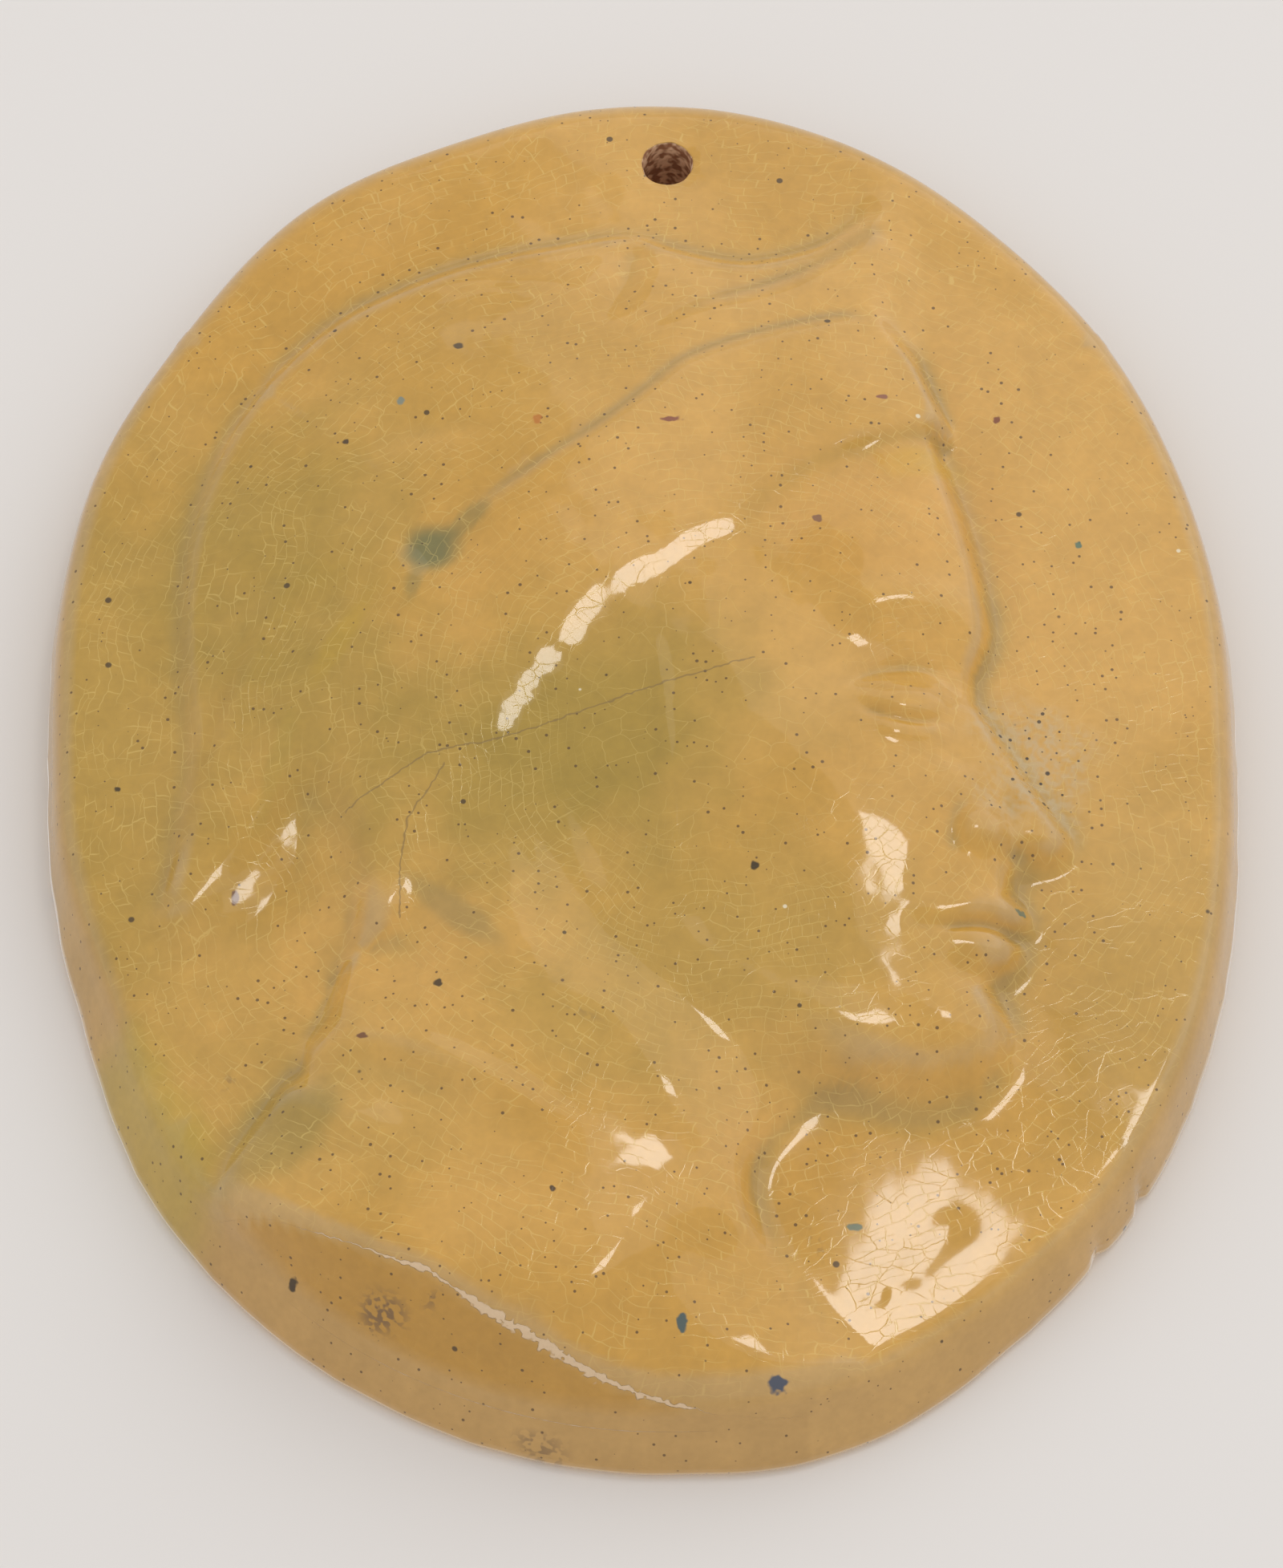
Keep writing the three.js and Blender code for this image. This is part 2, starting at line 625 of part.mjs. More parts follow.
const glaze = new THREE.MeshStandardMaterial({ color: 0xc9a052, roughness: 0.2, name: 'glaze' });
const plaque = new THREE.Mesh(geometry, glaze);
plaque.name = 'plaque';
const group = new THREE.Group();
group.name = 'wall_plaque';
group.add(plaque);
export default group;
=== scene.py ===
import math

import bmesh
import bpy
import numpy as np
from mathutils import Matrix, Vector, noise as lattice


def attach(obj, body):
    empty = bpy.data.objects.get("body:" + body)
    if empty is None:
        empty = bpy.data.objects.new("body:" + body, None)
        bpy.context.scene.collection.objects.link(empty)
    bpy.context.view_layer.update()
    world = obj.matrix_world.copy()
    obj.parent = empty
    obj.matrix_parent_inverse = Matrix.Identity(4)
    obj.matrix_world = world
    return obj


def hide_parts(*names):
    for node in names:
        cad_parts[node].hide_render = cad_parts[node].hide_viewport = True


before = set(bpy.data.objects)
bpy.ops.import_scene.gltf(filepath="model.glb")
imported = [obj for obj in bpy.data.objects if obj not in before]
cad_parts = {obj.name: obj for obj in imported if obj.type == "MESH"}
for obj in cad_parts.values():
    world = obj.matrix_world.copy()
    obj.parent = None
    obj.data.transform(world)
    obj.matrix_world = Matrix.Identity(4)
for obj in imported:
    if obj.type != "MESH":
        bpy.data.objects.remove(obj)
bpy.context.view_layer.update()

# Camera: a long lens 1.3 m away, square to the plaque left to right and looking up at it from
# 30 degrees below its centre line.
aim = Vector((-0.0041, -0.012, -0.1214))
camera_away = 1.3
below = math.radians(30)
camera = bpy.data.objects.new("camera", bpy.data.cameras.new("camera"))
bpy.context.scene.collection.objects.link(camera)
camera.location = aim + camera_away * Vector((0, -math.cos(below), -math.sin(below)))
camera.rotation_euler = (aim - camera.location).to_track_quat("-Z", "Y").to_euler()
camera.data.lens = 183.1
camera.data.sensor_width = 36
camera.data.shift_x = -0.00102
camera.data.shift_y = 0.00486
camera.data.clip_start = 0.05
camera.data.clip_end = 20
bpy.context.scene.camera = camera

# Wall: a plain pale painted surface that the plaque hangs against, in an even pale room with a
# small window and one broad soft light at the upper right. It shows from its front only, and the
# light behind it still reaches what hangs close against it.
wall_edge = 1.6
wall_middle = (-0.0041, -0.11)
wall_gap = 0.0006
lit_through = 0.004
wall_colour = (0.80, 0.775, 0.755, 1)


def add(tree, kind, put=None, **settings):
    made = tree.nodes.new(kind)
    for name, value in settings.items():
        setattr(made, name, value)
    for name, value in (put or {}).items():
        socket = made.inputs[name]
        if isinstance(value, bpy.types.NodeSocket):
            tree.links.new(value, socket)
        else:
            socket.default_value = value
    return made


def new_material(name):
    made = bpy.data.materials.new(name)
    made.use_nodes = True
    made.node_tree.nodes.clear()
    return made


wall_paint = new_material("wall_paint")
tree = wall_paint.node_tree
paint = add(tree, "ShaderNodeBsdfPrincipled", {"Base Color": wall_colour, "Roughness": 0.75})
clear = add(tree, "ShaderNodeBsdfTransparent")
side = add(tree, "ShaderNodeNewGeometry")
ray = add(tree, "ShaderNodeLightPath")
close_by = add(tree, "ShaderNodeMath", {0: ray.outputs["Ray Length"], 1: lit_through}, operation="LESS_THAN")
unseen = add(tree, "ShaderNodeMath", {0: side.outputs["Backfacing"], 1: close_by.outputs[0]}, operation="MAXIMUM")
shown = add(tree, "ShaderNodeMixShader", {0: unseen.outputs[0], 1: paint.outputs[0], 2: clear.outputs[0]})
add(tree, "ShaderNodeOutputMaterial", {"Surface": shown.outputs[0]})

board = bmesh.new()
bmesh.ops.create_grid(board, x_segments=2, y_segments=2, size=wall_edge)
for v in board.verts:
    v.co = Vector((v.co.x + wall_middle[0], wall_gap, v.co.y + wall_middle[1]))
bmesh.ops.recalc_face_normals(board, faces=board.faces)
board.normal_update()
if board.faces[:][0].normal.y > 0:
    bmesh.ops.reverse_faces(board, faces=board.faces)
wall_mesh = bpy.data.meshes.new("wall")
board.to_mesh(wall_mesh)
board.free()
wall_mesh.materials.append(wall_paint)
wall = bpy.data.objects.new("wall", wall_mesh)
bpy.context.scene.collection.objects.link(wall)

for name, wide, power, far, towards in (
    ("window", 0.29, 2.1, 2.0, Vector((0.25, -0.93, 0.27))),
    ("soft_light", 5.5, 50.0, 4.5, Vector((0.5, -0.58, 0.64))),
):
    lamp = bpy.data.lights.new(name, "AREA")
    lamp.size = wide
    lamp.energy = power
    lamp.color = (1.0, 0.985, 0.95)
    light = bpy.data.objects.new(name, lamp)
    bpy.context.scene.collection.objects.link(light)
    light.location = aim + far * towards.normalized()
    light.rotation_euler = (aim - light.location).to_track_quat("-Z", "Y").to_euler()

room = bpy.data.worlds.new("room")
room.use_nodes = True
room.node_tree.nodes["Background"].inputs[0].default_value = (1.0, 0.985, 0.975, 1)
room.node_tree.nodes["Background"].inputs[1].default_value = 0.8
bpy.context.scene.world = room
bpy.context.scene.view_settings.view_transform = "Standard"

# Plaque: one slab of pressed earthenware with the head raised out of it, its edge bevelled by
# hand, its lower shoulder cut away, then dipped in a thick mustard glaze that softens every
# form. A single hole for the nail goes straight through near the top.
plaque_width = 196
plaque_height = 256
wall_height = 9
wall_draft = 4
side_draft = 1.6
edge_round = 7
side_round = 4
field_thickness = 15
field_dome = 3
corner_droop = 2.7
corner_round = 3
hole_drop = 17.1
hole_offset = 4.1
hole_radius = 4.25
shoulder_height = 26
chest_fall = 7.5
grid_cells = 284
outline_swell = np.array([
    0.19, 1.15, 1.64, 2.92, 2.54, 2.39, 1.92, 1.66, 4.39, 3.47, 3.52, 2.14,
    0.41, 0.38, 0.12, 1.74, 0.66, -0.37, -0.17, 2.18, 1.86, 2.91, 2.6, 1.09,
])
hole_height = plaque_height / 2 - hole_drop


# A smooth curve's point between b and c, at a share t of the way.
def through_point(a, b, c, d, t):
    curve = (2 * a - 5 * b + 4 * c - d) * t**2 + (3 * b - a - 3 * c + d) * t**3
    return 0.5 * (2 * b + (c - a) * t + curve)


def outline(angle):
    oval = 1 / np.hypot(2 * np.cos(angle) / plaque_width, 2 * np.sin(angle) / plaque_height)
    place = (angle / (2 * np.pi) * 24) % 24
    i = np.floor(place).astype(int)
    a, b, c, d = (outline_swell[(i + k) % 24] for k in (-1, 0, 1, 2))
    return oval * (1 + through_point(a, b, c, d, place - i) / 100)


def ease(v, low, high):
    t = np.clip((v - low) / (high - low), 0, 1)
    return t * t * (3 - 2 * t)


# How far the side wall leans in: fully above and below, hardly at the left and right.
def leaning(angle):
    degrees = (np.degrees(angle) + 180) % 360 - 180
    below_it = ease(-degrees, 45, 75) * ease(180 + degrees, 8, 35)
    return np.maximum(below_it, ease(degrees, 25, 60) * ease(180 - degrees, 25, 60))


def top_edge(angle):
    return outline(angle) - side_draft - (wall_draft - side_draft) * leaning(angle)


def rise(d, reach):
    return 1 - np.exp(-d / reach)


def soft_max(a, b, k):
    h = np.clip(0.5 + 0.5 * (a - b) / k, 0, 1)
    return b * (1 - h) + a * h + k * h * (1 - h)


def soft_min(a, b, k):
    return -soft_max(-a, -b, k)


def smooth_line(points):
    p = np.array(points, float)
    ends = np.vstack([2 * p[0] - p[1], p, 2 * p[-1] - p[-2]])
    t = np.arange(8)[:, None] / 8
    spans = [through_point(*ends[i : i + 4], t) for i in range(len(p) - 1)]
    return np.vstack([*spans, p[-1:]])


# Distance from a line, the side of it, and the share of the way along it.
def measure(x, z, line):
    best = np.full(x.shape, 1e9)
    turn = np.ones(x.shape)
    share = np.zeros(x.shape)
    steps = np.diff(line, axis=0)
    sizes = np.hypot(steps[:, 0], steps[:, 1])
    before = np.concatenate([[0], np.cumsum(sizes)])
    for (ax, az), (ex, ez), size, start in zip(line, steps, sizes, before):
        t = np.clip(((x - ax) * ex + (z - az) * ez) / size**2, 0, 1)
        dx = x - ax - t * ex
        dz = z - az - t * ez
        d = dx * dx + dz * dz
        near = d < best
        best[near] = d[near]
        turn[near] = np.where(ex * dz - ez * dx < 0, -1, 1)[near]
        share[near] = (start + t * size)[near] / before[-1]
    return np.sqrt(best), turn, share


def within(x, z, line):
    odd = np.zeros(x.shape, bool)
    for (ax, az), (bx, bz) in zip(line, np.roll(line, -1, axis=0)):
        if az != bz:
            odd ^= ((az > z) != (bz > z)) & (x < (bx - ax) * (z - az) / (bz - az) + ax)
    return odd


# A ridge or groove along a line, round across or with one side cut off like a ledge.
def stroke(points, width, height, kind="round", start=0.3, end=0.3):
    line = smooth_line(points)

    def mark(x, z):
        out = np.zeros(x.shape)
        wide = 14 * width if kind == "ledge" else 4 * width
        low, high = line.min(0) - wide, line.max(0) + wide
        near = (x > low[0]) & (x < high[0]) & (z > low[1]) & (z < high[1])
        distance, turn, share = measure(x[near], z[near], line)
        v = distance * turn / width
        if kind == "ledge":
            shape = ease(v, -0.8, 0.8) * np.exp(-((np.maximum(v, 0) / 6) ** 2))
        else:
            shape = np.exp(-v * v)
        fade_in = ease(share, 0, start) if start else 1
        fade_out = ease(1 - share, 0, end) if end else 1
        out[near] = height * shape * fade_in * fade_out
        return out

    return mark


# A soft oval swelling or hollow.
def mound(cx, cz, rx, rz, height, turn=0):
    c, s = math.cos(math.radians(turn)), math.sin(math.radians(turn))

    def mark(x, z):
        u = ((x - cx) * c + (z - cz) * s) / rx
        v = (-(x - cx) * s + (z - cz) * c) / rz
        return height * np.exp(-(u * u + v * v))

    return mark


# The head in its cap: the face is a plain calm one set out in thirds, brow, nose and chin.
face_third = 40
chin = np.array((56, -68))
step_width = 2.3
profile = smooth_line(chin + face_third * np.array([
    (-0.2, 3.05), (-0.07, 2.6), (0, 2.25), (0.015, 2.05), (-0.055, 1.84), (0, 1.66), (0.13, 1.42),
    (0.27, 1.2), (0.31, 1.11), (0.26, 1.035), (0.12, 0.985), (0.08, 0.87), (0.13, 0.775),
    (0.12, 0.71), (0.068, 0.672), (0.1, 0.625), (0.085, 0.55), (0, 0.43), (0.05, 0.27),
    (0.03, 0.13), (-0.08, 0.01),
]))
jaw = smooth_line(chin + face_third * np.array([
    (-0.08, 0.01), (-0.33, -0.03), (-0.72, 0.1), (-1.12, 0.3), (-1.45, 0.58), (-1.66, 0.95),
    (-1.83, 1.35), (-2.05, 1.8),
]))
core = smooth_line(chin + face_third * np.array([
    (-0.5, 3.6), (-0.2, 3.05), (0, 2.25), (0, 1.7), (0.05, 1.2), (0.07, 0.75), (0, 0.3),
    (-0.06, -0.2), (-0.1, -0.9),
]))
face_marks = [
    mound(44, 5, 11, 6.5, -2.4),
    mound(52.8, 2, 4.5, 6, -1.8),
    mound(43.5, -0.8, 8, 5.6, 2.6),
    stroke([(57, 13.5), (50, 17.5), (40, 18), (30, 13)], 4.2, 1.4),
    stroke([(51, 3.5), (45, 6.2), (37, 4.2), (32.5, 0)], 1.2, -0.8),
    stroke([(51, -2.6), (45, -5.4), (37.5, -4.2), (32.5, -1)], 0.95, -1.1),
    stroke([(50, -5.2), (44, -8), (37, -6.6)], 1.7, 0.6),
    stroke([(54, 4), (58.5, -7), (62.5, -18), (64.5, -23)], 3, 1),
    mound(63.5, -22.5, 5, 4.4, 1.6),
    mound(55.8, -24, 4.8, 4.2, 2.4),
    stroke([(54, -17.5), (50.5, -21), (49.7, -26), (52.5, -29.5)], 1.4, -1.2),
    mound(60.5, -27.2, 3, 1.3, -1.5, 10),
    stroke([(51.5, 0), (51.5, -8), (51, -15)], 4, -1),
    mound(29, -15, 22, 15, 2.4, -25),
    stroke([(51, -25), (47.5, -32), (44.5, -39)], 2.4, -0.7),
    stroke([(62, -38.2), (55, -37.6), (48, -40)], 2.2, 1.3, "round", 0, 0.5),
    stroke([(61, -41.3), (55, -40.8), (49.5, -41.8), (45.5, -42.6)], 0.95, -1.5, "round", 0, 0.3),
    stroke([(61, -45), (55, -45.3), (49, -43.8)], 2.4, 1.4, "round", 0, 0.5),
    stroke([(58, -50.6), (52, -50.2), (46, -48.2)], 2.8, -1.2, "round", 0.1, 0.5),
    mound(45.2, -42.4, 2.4, 2.2, -0.9),
    mound(51.5, -59, 7.5, 6.5, 2),
    stroke([(46, -64), (28, -60), (11, -52), (0, -40), (-6, -28)], 5, 1.2),
    mound(22, 24, 13, 14, -1),
    mound(38, 33, 18, 14, 1.4),
]
seam = stroke([(1.2, 13), (2.6, 2), (3.6, -12), (4.4, -26), (6, -40)], 1.3, 0.3, "round", 0.1, 0.25)

# Neck and draped shoulder, with two soft folds behind the neck.
throat = smooth_line([
    (44, -64), (31, -70), (22, -76), (17.5, -84), (19, -93), (26, -105), (36, -115), (47, -124),
    (60, -140),
])
shoulder = smooth_line([
    (-84, -104), (-72, -92), (-69, -86), (-64, -77), (-58.5, -69), (-55, -65.5), (-54, -61),
    (-50.5, -55.5), (-47, -46), (-44, -34), (-40, -20),
])
bust_marks = [
    stroke([(-50, -56), (-44, -61), (-37, -64.5), (-31, -68), (-20, -74.5), (-5, -83)], 3.2, 1.2, "round", 0.08, 0.6),
    stroke([(-47, -63), (-38, -70), (-25, -78)], 4, -0.9, "round", 0.2, 0.6),
    stroke([(-59, -69), (-51, -74), (-42, -79.5), (-33, -84)], 3.4, 1.1, "round", 0.08, 0.5),
    stroke([(-10, -46), (4, -70), (22, -98)], 6, 1.2),
    mound(-34, -42, 10, 9, 1.6),
]

# Soft cloth cap: a rolled brim, a long fold sweeping back from the front, a smaller fold above
# it, a pinched crown and a tail that falls behind the neck.
brim_points = [
    (51, 54.5), (41, 50.5), (33, 46), (25, 40), (16, 33), (8, 28), (-2, 21), (-11, 12), (-18, 2),
    (-24, -8), (-31, -16), (-36, -25), (-38.5, -34), (-40, -44),
]
brim = smooth_line(brim_points)
nape = smooth_line([
    (-40, -44), (-46, -44), (-49, -30), (-54, -17), (-62, -27), (-68, -36), (-73, -40), (-78, -38),
])
crown = smooth_line([
    (-78, -38), (-76, -22), (-74, -7), (-76, 14), (-75.5, 31), (-73, 44), (-68, 57), (-61, 68),
    (-51, 78), (-39, 85), (-27, 90), (-14, 93), (-2, 95), (6, 92), (17, 89.5), (28, 92), (35, 96.5),
    (41.5, 102.5),
])
front = smooth_line([(41.5, 102.5), (42.6, 90), (42.8, 77), (46.8, 65.5), (51, 54.5)])
cap_marks = [
    stroke([
        (-46, 34), (-52, 27.5), (-60, 18), (-65, 6), (-69, -9), (-73, -25), (-77, -36),
    ], 3, 0.9, "round", 0.35, 0.1),
    stroke([(-43, 32), (-50, 24), (-57, 14), (-62, 2), (-66.5, -12), (-71, -27)], 3.4, -0.5, "round", 0.35, 0.25),
    stroke([
        (42, 75), (33, 75), (27, 73.3), (17, 70), (7, 65), (0, 58), (-8, 50.5), (-15, 45), (-21, 40),
        (-29, 34), (-35, 27),
    ], 2.2, 1.0, "ledge", 0.15, 0.16),
    mound(-34.5, 28, 5.5, 6.5, -1.2, 30),
    mound(-74, -38, 7, 7, 1.3),
    mound(-46, -22, 5, 5, 0.7),
    mound(-41, -38, 7, 6, 1.1),
    stroke([(40, 97), (27, 85.5), (19, 81.5), (10, 78), (0, 71), (-8, 63)], 2.4, 0.9, "ledge", 0.05, 0.6),
    stroke([(-1, 97), (-2.5, 86), (-4.5, 78), (-7, 71)], 2.8, -1.5, "round", 0.3, 0.6),
    stroke([(-54, 68), (-47, 76), (-39, 81), (-27, 85), (-19, 84), (-10, 81)], 2.4, 0.5),
    stroke([(-51, 46), (-42, 50), (-32, 52), (-22, 53)], 3, -0.8),
]
creases = [
    stroke([
        (40, 76), (33, 76), (27, 74.3), (17, 71), (7, 66), (0, 59), (-8, 51.5), (-15, 46), (-21, 41),
        (-29, 34),
    ], 1.1, 0.3, "round", 0.1, 0.1),
    stroke([(41, 97), (30, 89), (19, 83), (10, 79), (0, 72)], 1.6, 0.3, "round", 0.05, 0.5),
    stroke([(50, 53.8), (44, 51.4), (37, 48.8), (28, 44.4), (20, 37.5), (12, 31)], 1.7, 0.4, "round", 0.1, 0.4),
    stroke([
        (-59, 22), (-65, 10.6), (-69.5, -2), (-72.5, -15), (-75.5, -26), (-78, -34),
    ], 1.5, 0.35, "round", 0.3, 0.1),
]
dimples = [
    stroke([(51, -87), (46, -94), (39, -103)], 3.2, 0.2),
    stroke([(33, -101), (39, -104)], 2.6, 0.13),
]
brim_step = 1.35
brim_width = 4
crown_width = 1.7
front_slack = 6
cut_edge = np.array([
    (-131, 0), (-127, 0.9), (-122, 5), (-115, 8.6), (-108, 10.6), (-100, 8.8), (-95, 8), (-91, 6.5),
    (-88, 4.5), (-84, 2), (-78, 0),
])


def relief(x, z, field):
    to_profile, to_jaw = measure(x, z, profile)[0], measure(x, z, jaw)[0]
    to_core, core_side, _ = measure(x, z, core)
    depth_in = np.where(core_side < 0, to_core, -to_core)
    in_face = within(x, z, np.vstack([profile, jaw, [(-26, 20), (0, 40), (30, 58)]]))
    face_depth = np.where(in_face, 1, -1) * np.minimum(to_profile, to_jaw)
    soft = to_profile / (to_profile + to_jaw + 1e-6)
    jaw_depth = np.maximum(np.where(in_face, to_jaw, -to_jaw) + 7, 0)
    face = 2.8 + 6.4 * rise(np.maximum(depth_in + 1.5, 0), 8.5) * rise(jaw_depth, 9)
    face = face + 0.9 * sum(mark(x, z) for mark in face_marks)
    face_share = ease(face_depth, -step_width - 4.5 * soft, 2 + 4 * soft)
    face = face + seam(x, z)

    to_throat, to_shoulder = measure(x, z, throat)[0], measure(x, z, shoulder)[0]
    in_bust = within(x, z, np.vstack([throat, [(60, -140), (-60, -140)], shoulder, [(-30, 0), (10, 0), (30, -30)]]))
    bust_depth = np.where(in_bust, 1, -1) * np.minimum(to_throat, to_shoulder)
    chest = ease(-z, 90, 106) * ease(x, -6, 16)
    bust = 1.6 - 1.1 * chest + 9.5 * rise(to_throat, 11 + 15 * chest) * rise(to_shoulder, 12)
    bust = bust + sum(mark(x, z) for mark in bust_marks)
    trough = (face_depth + 5) / np.where(face_depth > -5, 5, 8)
    under_jaw = -1.9 * np.exp(-(trough**2)) * ease(depth_in, -2, 12)
    bust_share = ease(bust_depth, 0.2 - step_width, step_width)
    low = (bust + under_jaw) * bust_share

    to_crown, to_front, to_nape, to_brim = (measure(x, z, line)[0] for line in (crown, front, nape, brim))
    hard = np.minimum(np.minimum(to_crown, to_front), to_brim)
    in_cap = within(x, z, np.vstack([brim, nape, crown, front]))
    cap_depth = np.where(in_cap, 1, -1) * np.minimum(hard, to_nape)
    slack = hard / (hard + to_nape + 1e-6)
    cap = 1.4 + 9.0 * rise(to_crown, 24) * rise(to_front + 8, 12) * rise(to_nape + 7, 12)
    tucked = np.exp(-((to_brim / 13) ** 2)) * ease(to_profile, 3, 14)
    tucked = tucked * np.maximum(face_share, bust_share)
    under_brim = cap - brim_step
    cap = cap + 0.5 * np.exp(-(((to_crown - 1.8) / 1.5) ** 2)) + sum(mark(x, z) for mark in cap_marks)
    at_brim = np.minimum(to_crown, to_front) / (np.minimum(to_crown, to_front) + to_brim + 1e-6)
    turned_up = brim_width - 2 * ease(x, 12, 34)
    half = crown_width + (turned_up - crown_width) * at_brim + 6 * slack
    at_front = to_crown / (to_crown + to_front + 1e-6)
    half = half + front_slack * at_front * ease(z, 66, 80) * np.exp(-((to_front / 10) ** 2))
    cap_share = ease(cap_depth, 0.2 - half, half)

    flesh = low * (1 - face_share) + face * face_share
    flesh = flesh * (1 - tucked) + under_brim * tucked
    return field + flesh * (1 - cap_share) + cap * cap_share


# Height of the front at a share of the way out, with its distances from the rim and the cut's
# crest, and whether it lies on the cut.
def front_height(angle, out):
    edge = top_edge(angle)
    inset = edge * (1 - out)
    x, z = edge * out * np.cos(angle), edge * out * np.sin(angle)
    degrees = np.degrees(np.arctan2(z, x))
    droop = corner_droop * np.maximum(1 - inset / 56, 0) ** 2 * np.exp(-(((degrees + 61) / 15.5) ** 2))
    top = relief(x, z, field_thickness + field_dome * (1 - out**2) - droop)
    below_it = ease(-degrees, 35, 60) * ease(180 + degrees, 55, 80)
    fall_away = 0.95 - 0.6 * ease(degrees, -100, -88)
    rolled = soft_min(top, wall_height + chest_fall + fall_away * inset, 3)
    top = top * (1 - below_it) + rolled * below_it
    reach = np.interp(degrees, cut_edge[:, 0], cut_edge[:, 1], 0, 0)
    cut_rise = shoulder_height - wall_height - 1
    cut = wall_height + 1 + cut_rise * np.maximum(inset, 0) / np.maximum(reach, 0.05)
    cut_share = np.where(reach > 0.05, ease(top - cut, -0.5, 1.5), 0)
    from_crest = np.where(reach > 0.05, (cut - top) * reach / cut_rise, 9)
    top = np.where(reach > 0.05, soft_min(top, cut, 1), top)
    own_round = side_round + (edge_round - side_round) * leaning(angle)
    own_round = own_round - (own_round - corner_round) * np.exp(-(((degrees + 48) / 34) ** 2))
    k = 1 - inset / own_round
    k = np.minimum(0.5 * (k + np.hypot(k, 0.2)), 1)
    fall = 1 - np.sqrt(np.maximum(1 - 0.985 * k * k, 0))
    return top - (np.minimum(top, field_thickness + 2) - wall_height) * fall, inset, from_crest, cut_share


def clouds(x, z, size, row, octaves=2):
    spots = zip(x / size, z / size)
    return np.array([lattice.fractal(Vector((a, b, row)), 1.0, 2.0, octaves) for a, b in spots])


def place(angle, radius, height):
    x = (radius * math.cos(angle) - hole_offset) / 1000
    z = (radius * math.sin(angle) - hole_height) / 1000
    return Vector((x, -height / 1000, z))


# The front face starts as a square sheet wrapped to the oval and raised into the relief.
clay = bmesh.new()
bmesh.ops.create_grid(clay, x_segments=grid_cells, y_segments=grid_cells, size=1)
clay.verts.ensure_lookup_table()
sheet = np.array([v.co[:2] for v in clay.verts])
u, v_ = sheet[:, 0], sheet[:, 1]
out = np.maximum(np.abs(u), np.abs(v_))
wide = np.abs(u) >= np.abs(v_)
safe_u, safe_v = np.where(np.abs(u) < 1e-9, 1e-9, u), np.where(np.abs(v_) < 1e-9, 1e-9, v_)
angle = np.where(
    wide,
    np.where(u > 0, 0, np.pi) + np.pi / 4 * v_ / safe_u,
    np.where(v_ > 0, np.pi / 2, -np.pi / 2) - np.pi / 4 * u / safe_v,
)
height, inset, from_crest, cut_share = front_height(angle, out)
radius = top_edge(angle) * out
for v, a, r, h in zip(clay.verts, angle, radius, height):
    v.co = place(a, r, h)
inner = [v for v, a, b in zip(clay.verts, u, v_) if not v.is_boundary and abs(abs(a) - abs(b)) > 0.018]
for _ in range(3):
    bmesh.ops.smooth_vert(clay, verts=inner, factor=0.5, use_axis_x=False, use_axis_y=True, use_axis_z=False)

# The thick glaze never lies quite level.
x, z = radius * np.cos(angle), radius * np.sin(angle)
calm = 1 - 0.8 * np.exp(-(((x - 56) / 34) ** 4) - ((z + 92) / 34) ** 4)
level = calm * (0.17 * clouds(x, z, 17, 1.5) + 0.03 * clouds(x, z, 5, 4.5))
level += 0.2 * clouds(x, z, 9, 8.5) * np.exp(-((measure(x, z, brim)[0] / 7) ** 2))
level -= sum(line(x, z) for line in creases + dimples)
for v, lift in zip(clay.verts, level):
    v.co.y -= lift / 1000

# How far each point stands above or below its surroundings tells where the glaze runs thin or
# gathers, and where painted shade goes along the foot of a step. Other marks tell the cut face, its
# worn edge, the side and the inside of the hole.
rows = np.lexsort((np.round(u, 6), np.round(v_, 6)))
side_count = grid_cells + 1
heights = np.array([-v.co.y * 1000 for v in clay.verts])
spread = heights[rows].reshape(side_count, side_count)
for turn in range(70):
    wide_edge = np.pad(spread, 1, mode="edge")
    around = wide_edge[:-2, 1:-1] + wide_edge[2:, 1:-1] + wide_edge[1:-1, :-2] + wide_edge[1:-1, 2:]
    spread = 0.5 * spread + 0.125 * around
    if turn == 13:
        narrow = spread
stand, crest = np.zeros(len(heights)), np.zeros(len(heights))
stand[rows] = heights[rows] - spread.ravel()
crest[rows] = heights[rows] - narrow.ravel()
names = ("stand", "crest", "cut", "edge", "worn", "rim", "bore", "back")
layers = {name: clay.verts.layers.float.new(name) for name in names}
turn = np.degrees(np.arctan2(radius * np.sin(angle), radius * np.cos(angle)))
worn = np.interp(turn, (-120, -113, -108, -106, -103, -94, -89, -85), (0, 0.3, 0.9, 0.35, 1, 0.9, 0.5, 0))
for i, v in enumerate(clay.verts):
    v[layers["stand"]] = stand[i]
    v[layers["crest"]] = crest[i]
    v[layers["cut"]] = cut_share[i]
    v[layers["edge"]] = min(max(from_crest[i], -9), 9)
    v[layers["worn"]] = worn[i]
    v[layers["rim"]] = 1 - ease(inset[i], 0.5, 4)

# The mouth of the hole is opened in the front sheet and its wall drawn straight back.
mouth = place(math.atan2(hole_height, hole_offset), math.hypot(hole_height, hole_offset), 0)
lip_radius = hole_radius + 0.35
gone = [v for v in clay.verts if math.hypot(v.co.x - mouth.x, v.co.z - mouth.z) < (lip_radius - 0.1) / 1000]
bmesh.ops.delete(clay, geom=gone, context="VERTS")
rim_edges = [e for e in clay.edges if e.is_boundary and math.hypot(e.verts[0].co.x, e.verts[0].co.z) < 0.01]
outer_edges = [e for e in clay.edges if e.is_boundary and e not in set(rim_edges)]
lip = list({v for e in rim_edges for v in e.verts})
for v in lip:
    a = math.atan2(v.co.z, v.co.x)
    v.co.x, v.co.z = lip_radius * math.cos(a) / 1000, lip_radius * math.sin(a) / 1000
lip_height = sum(-v.co.y for v in lip) / len(lip) * 1000
ring_edges = rim_edges
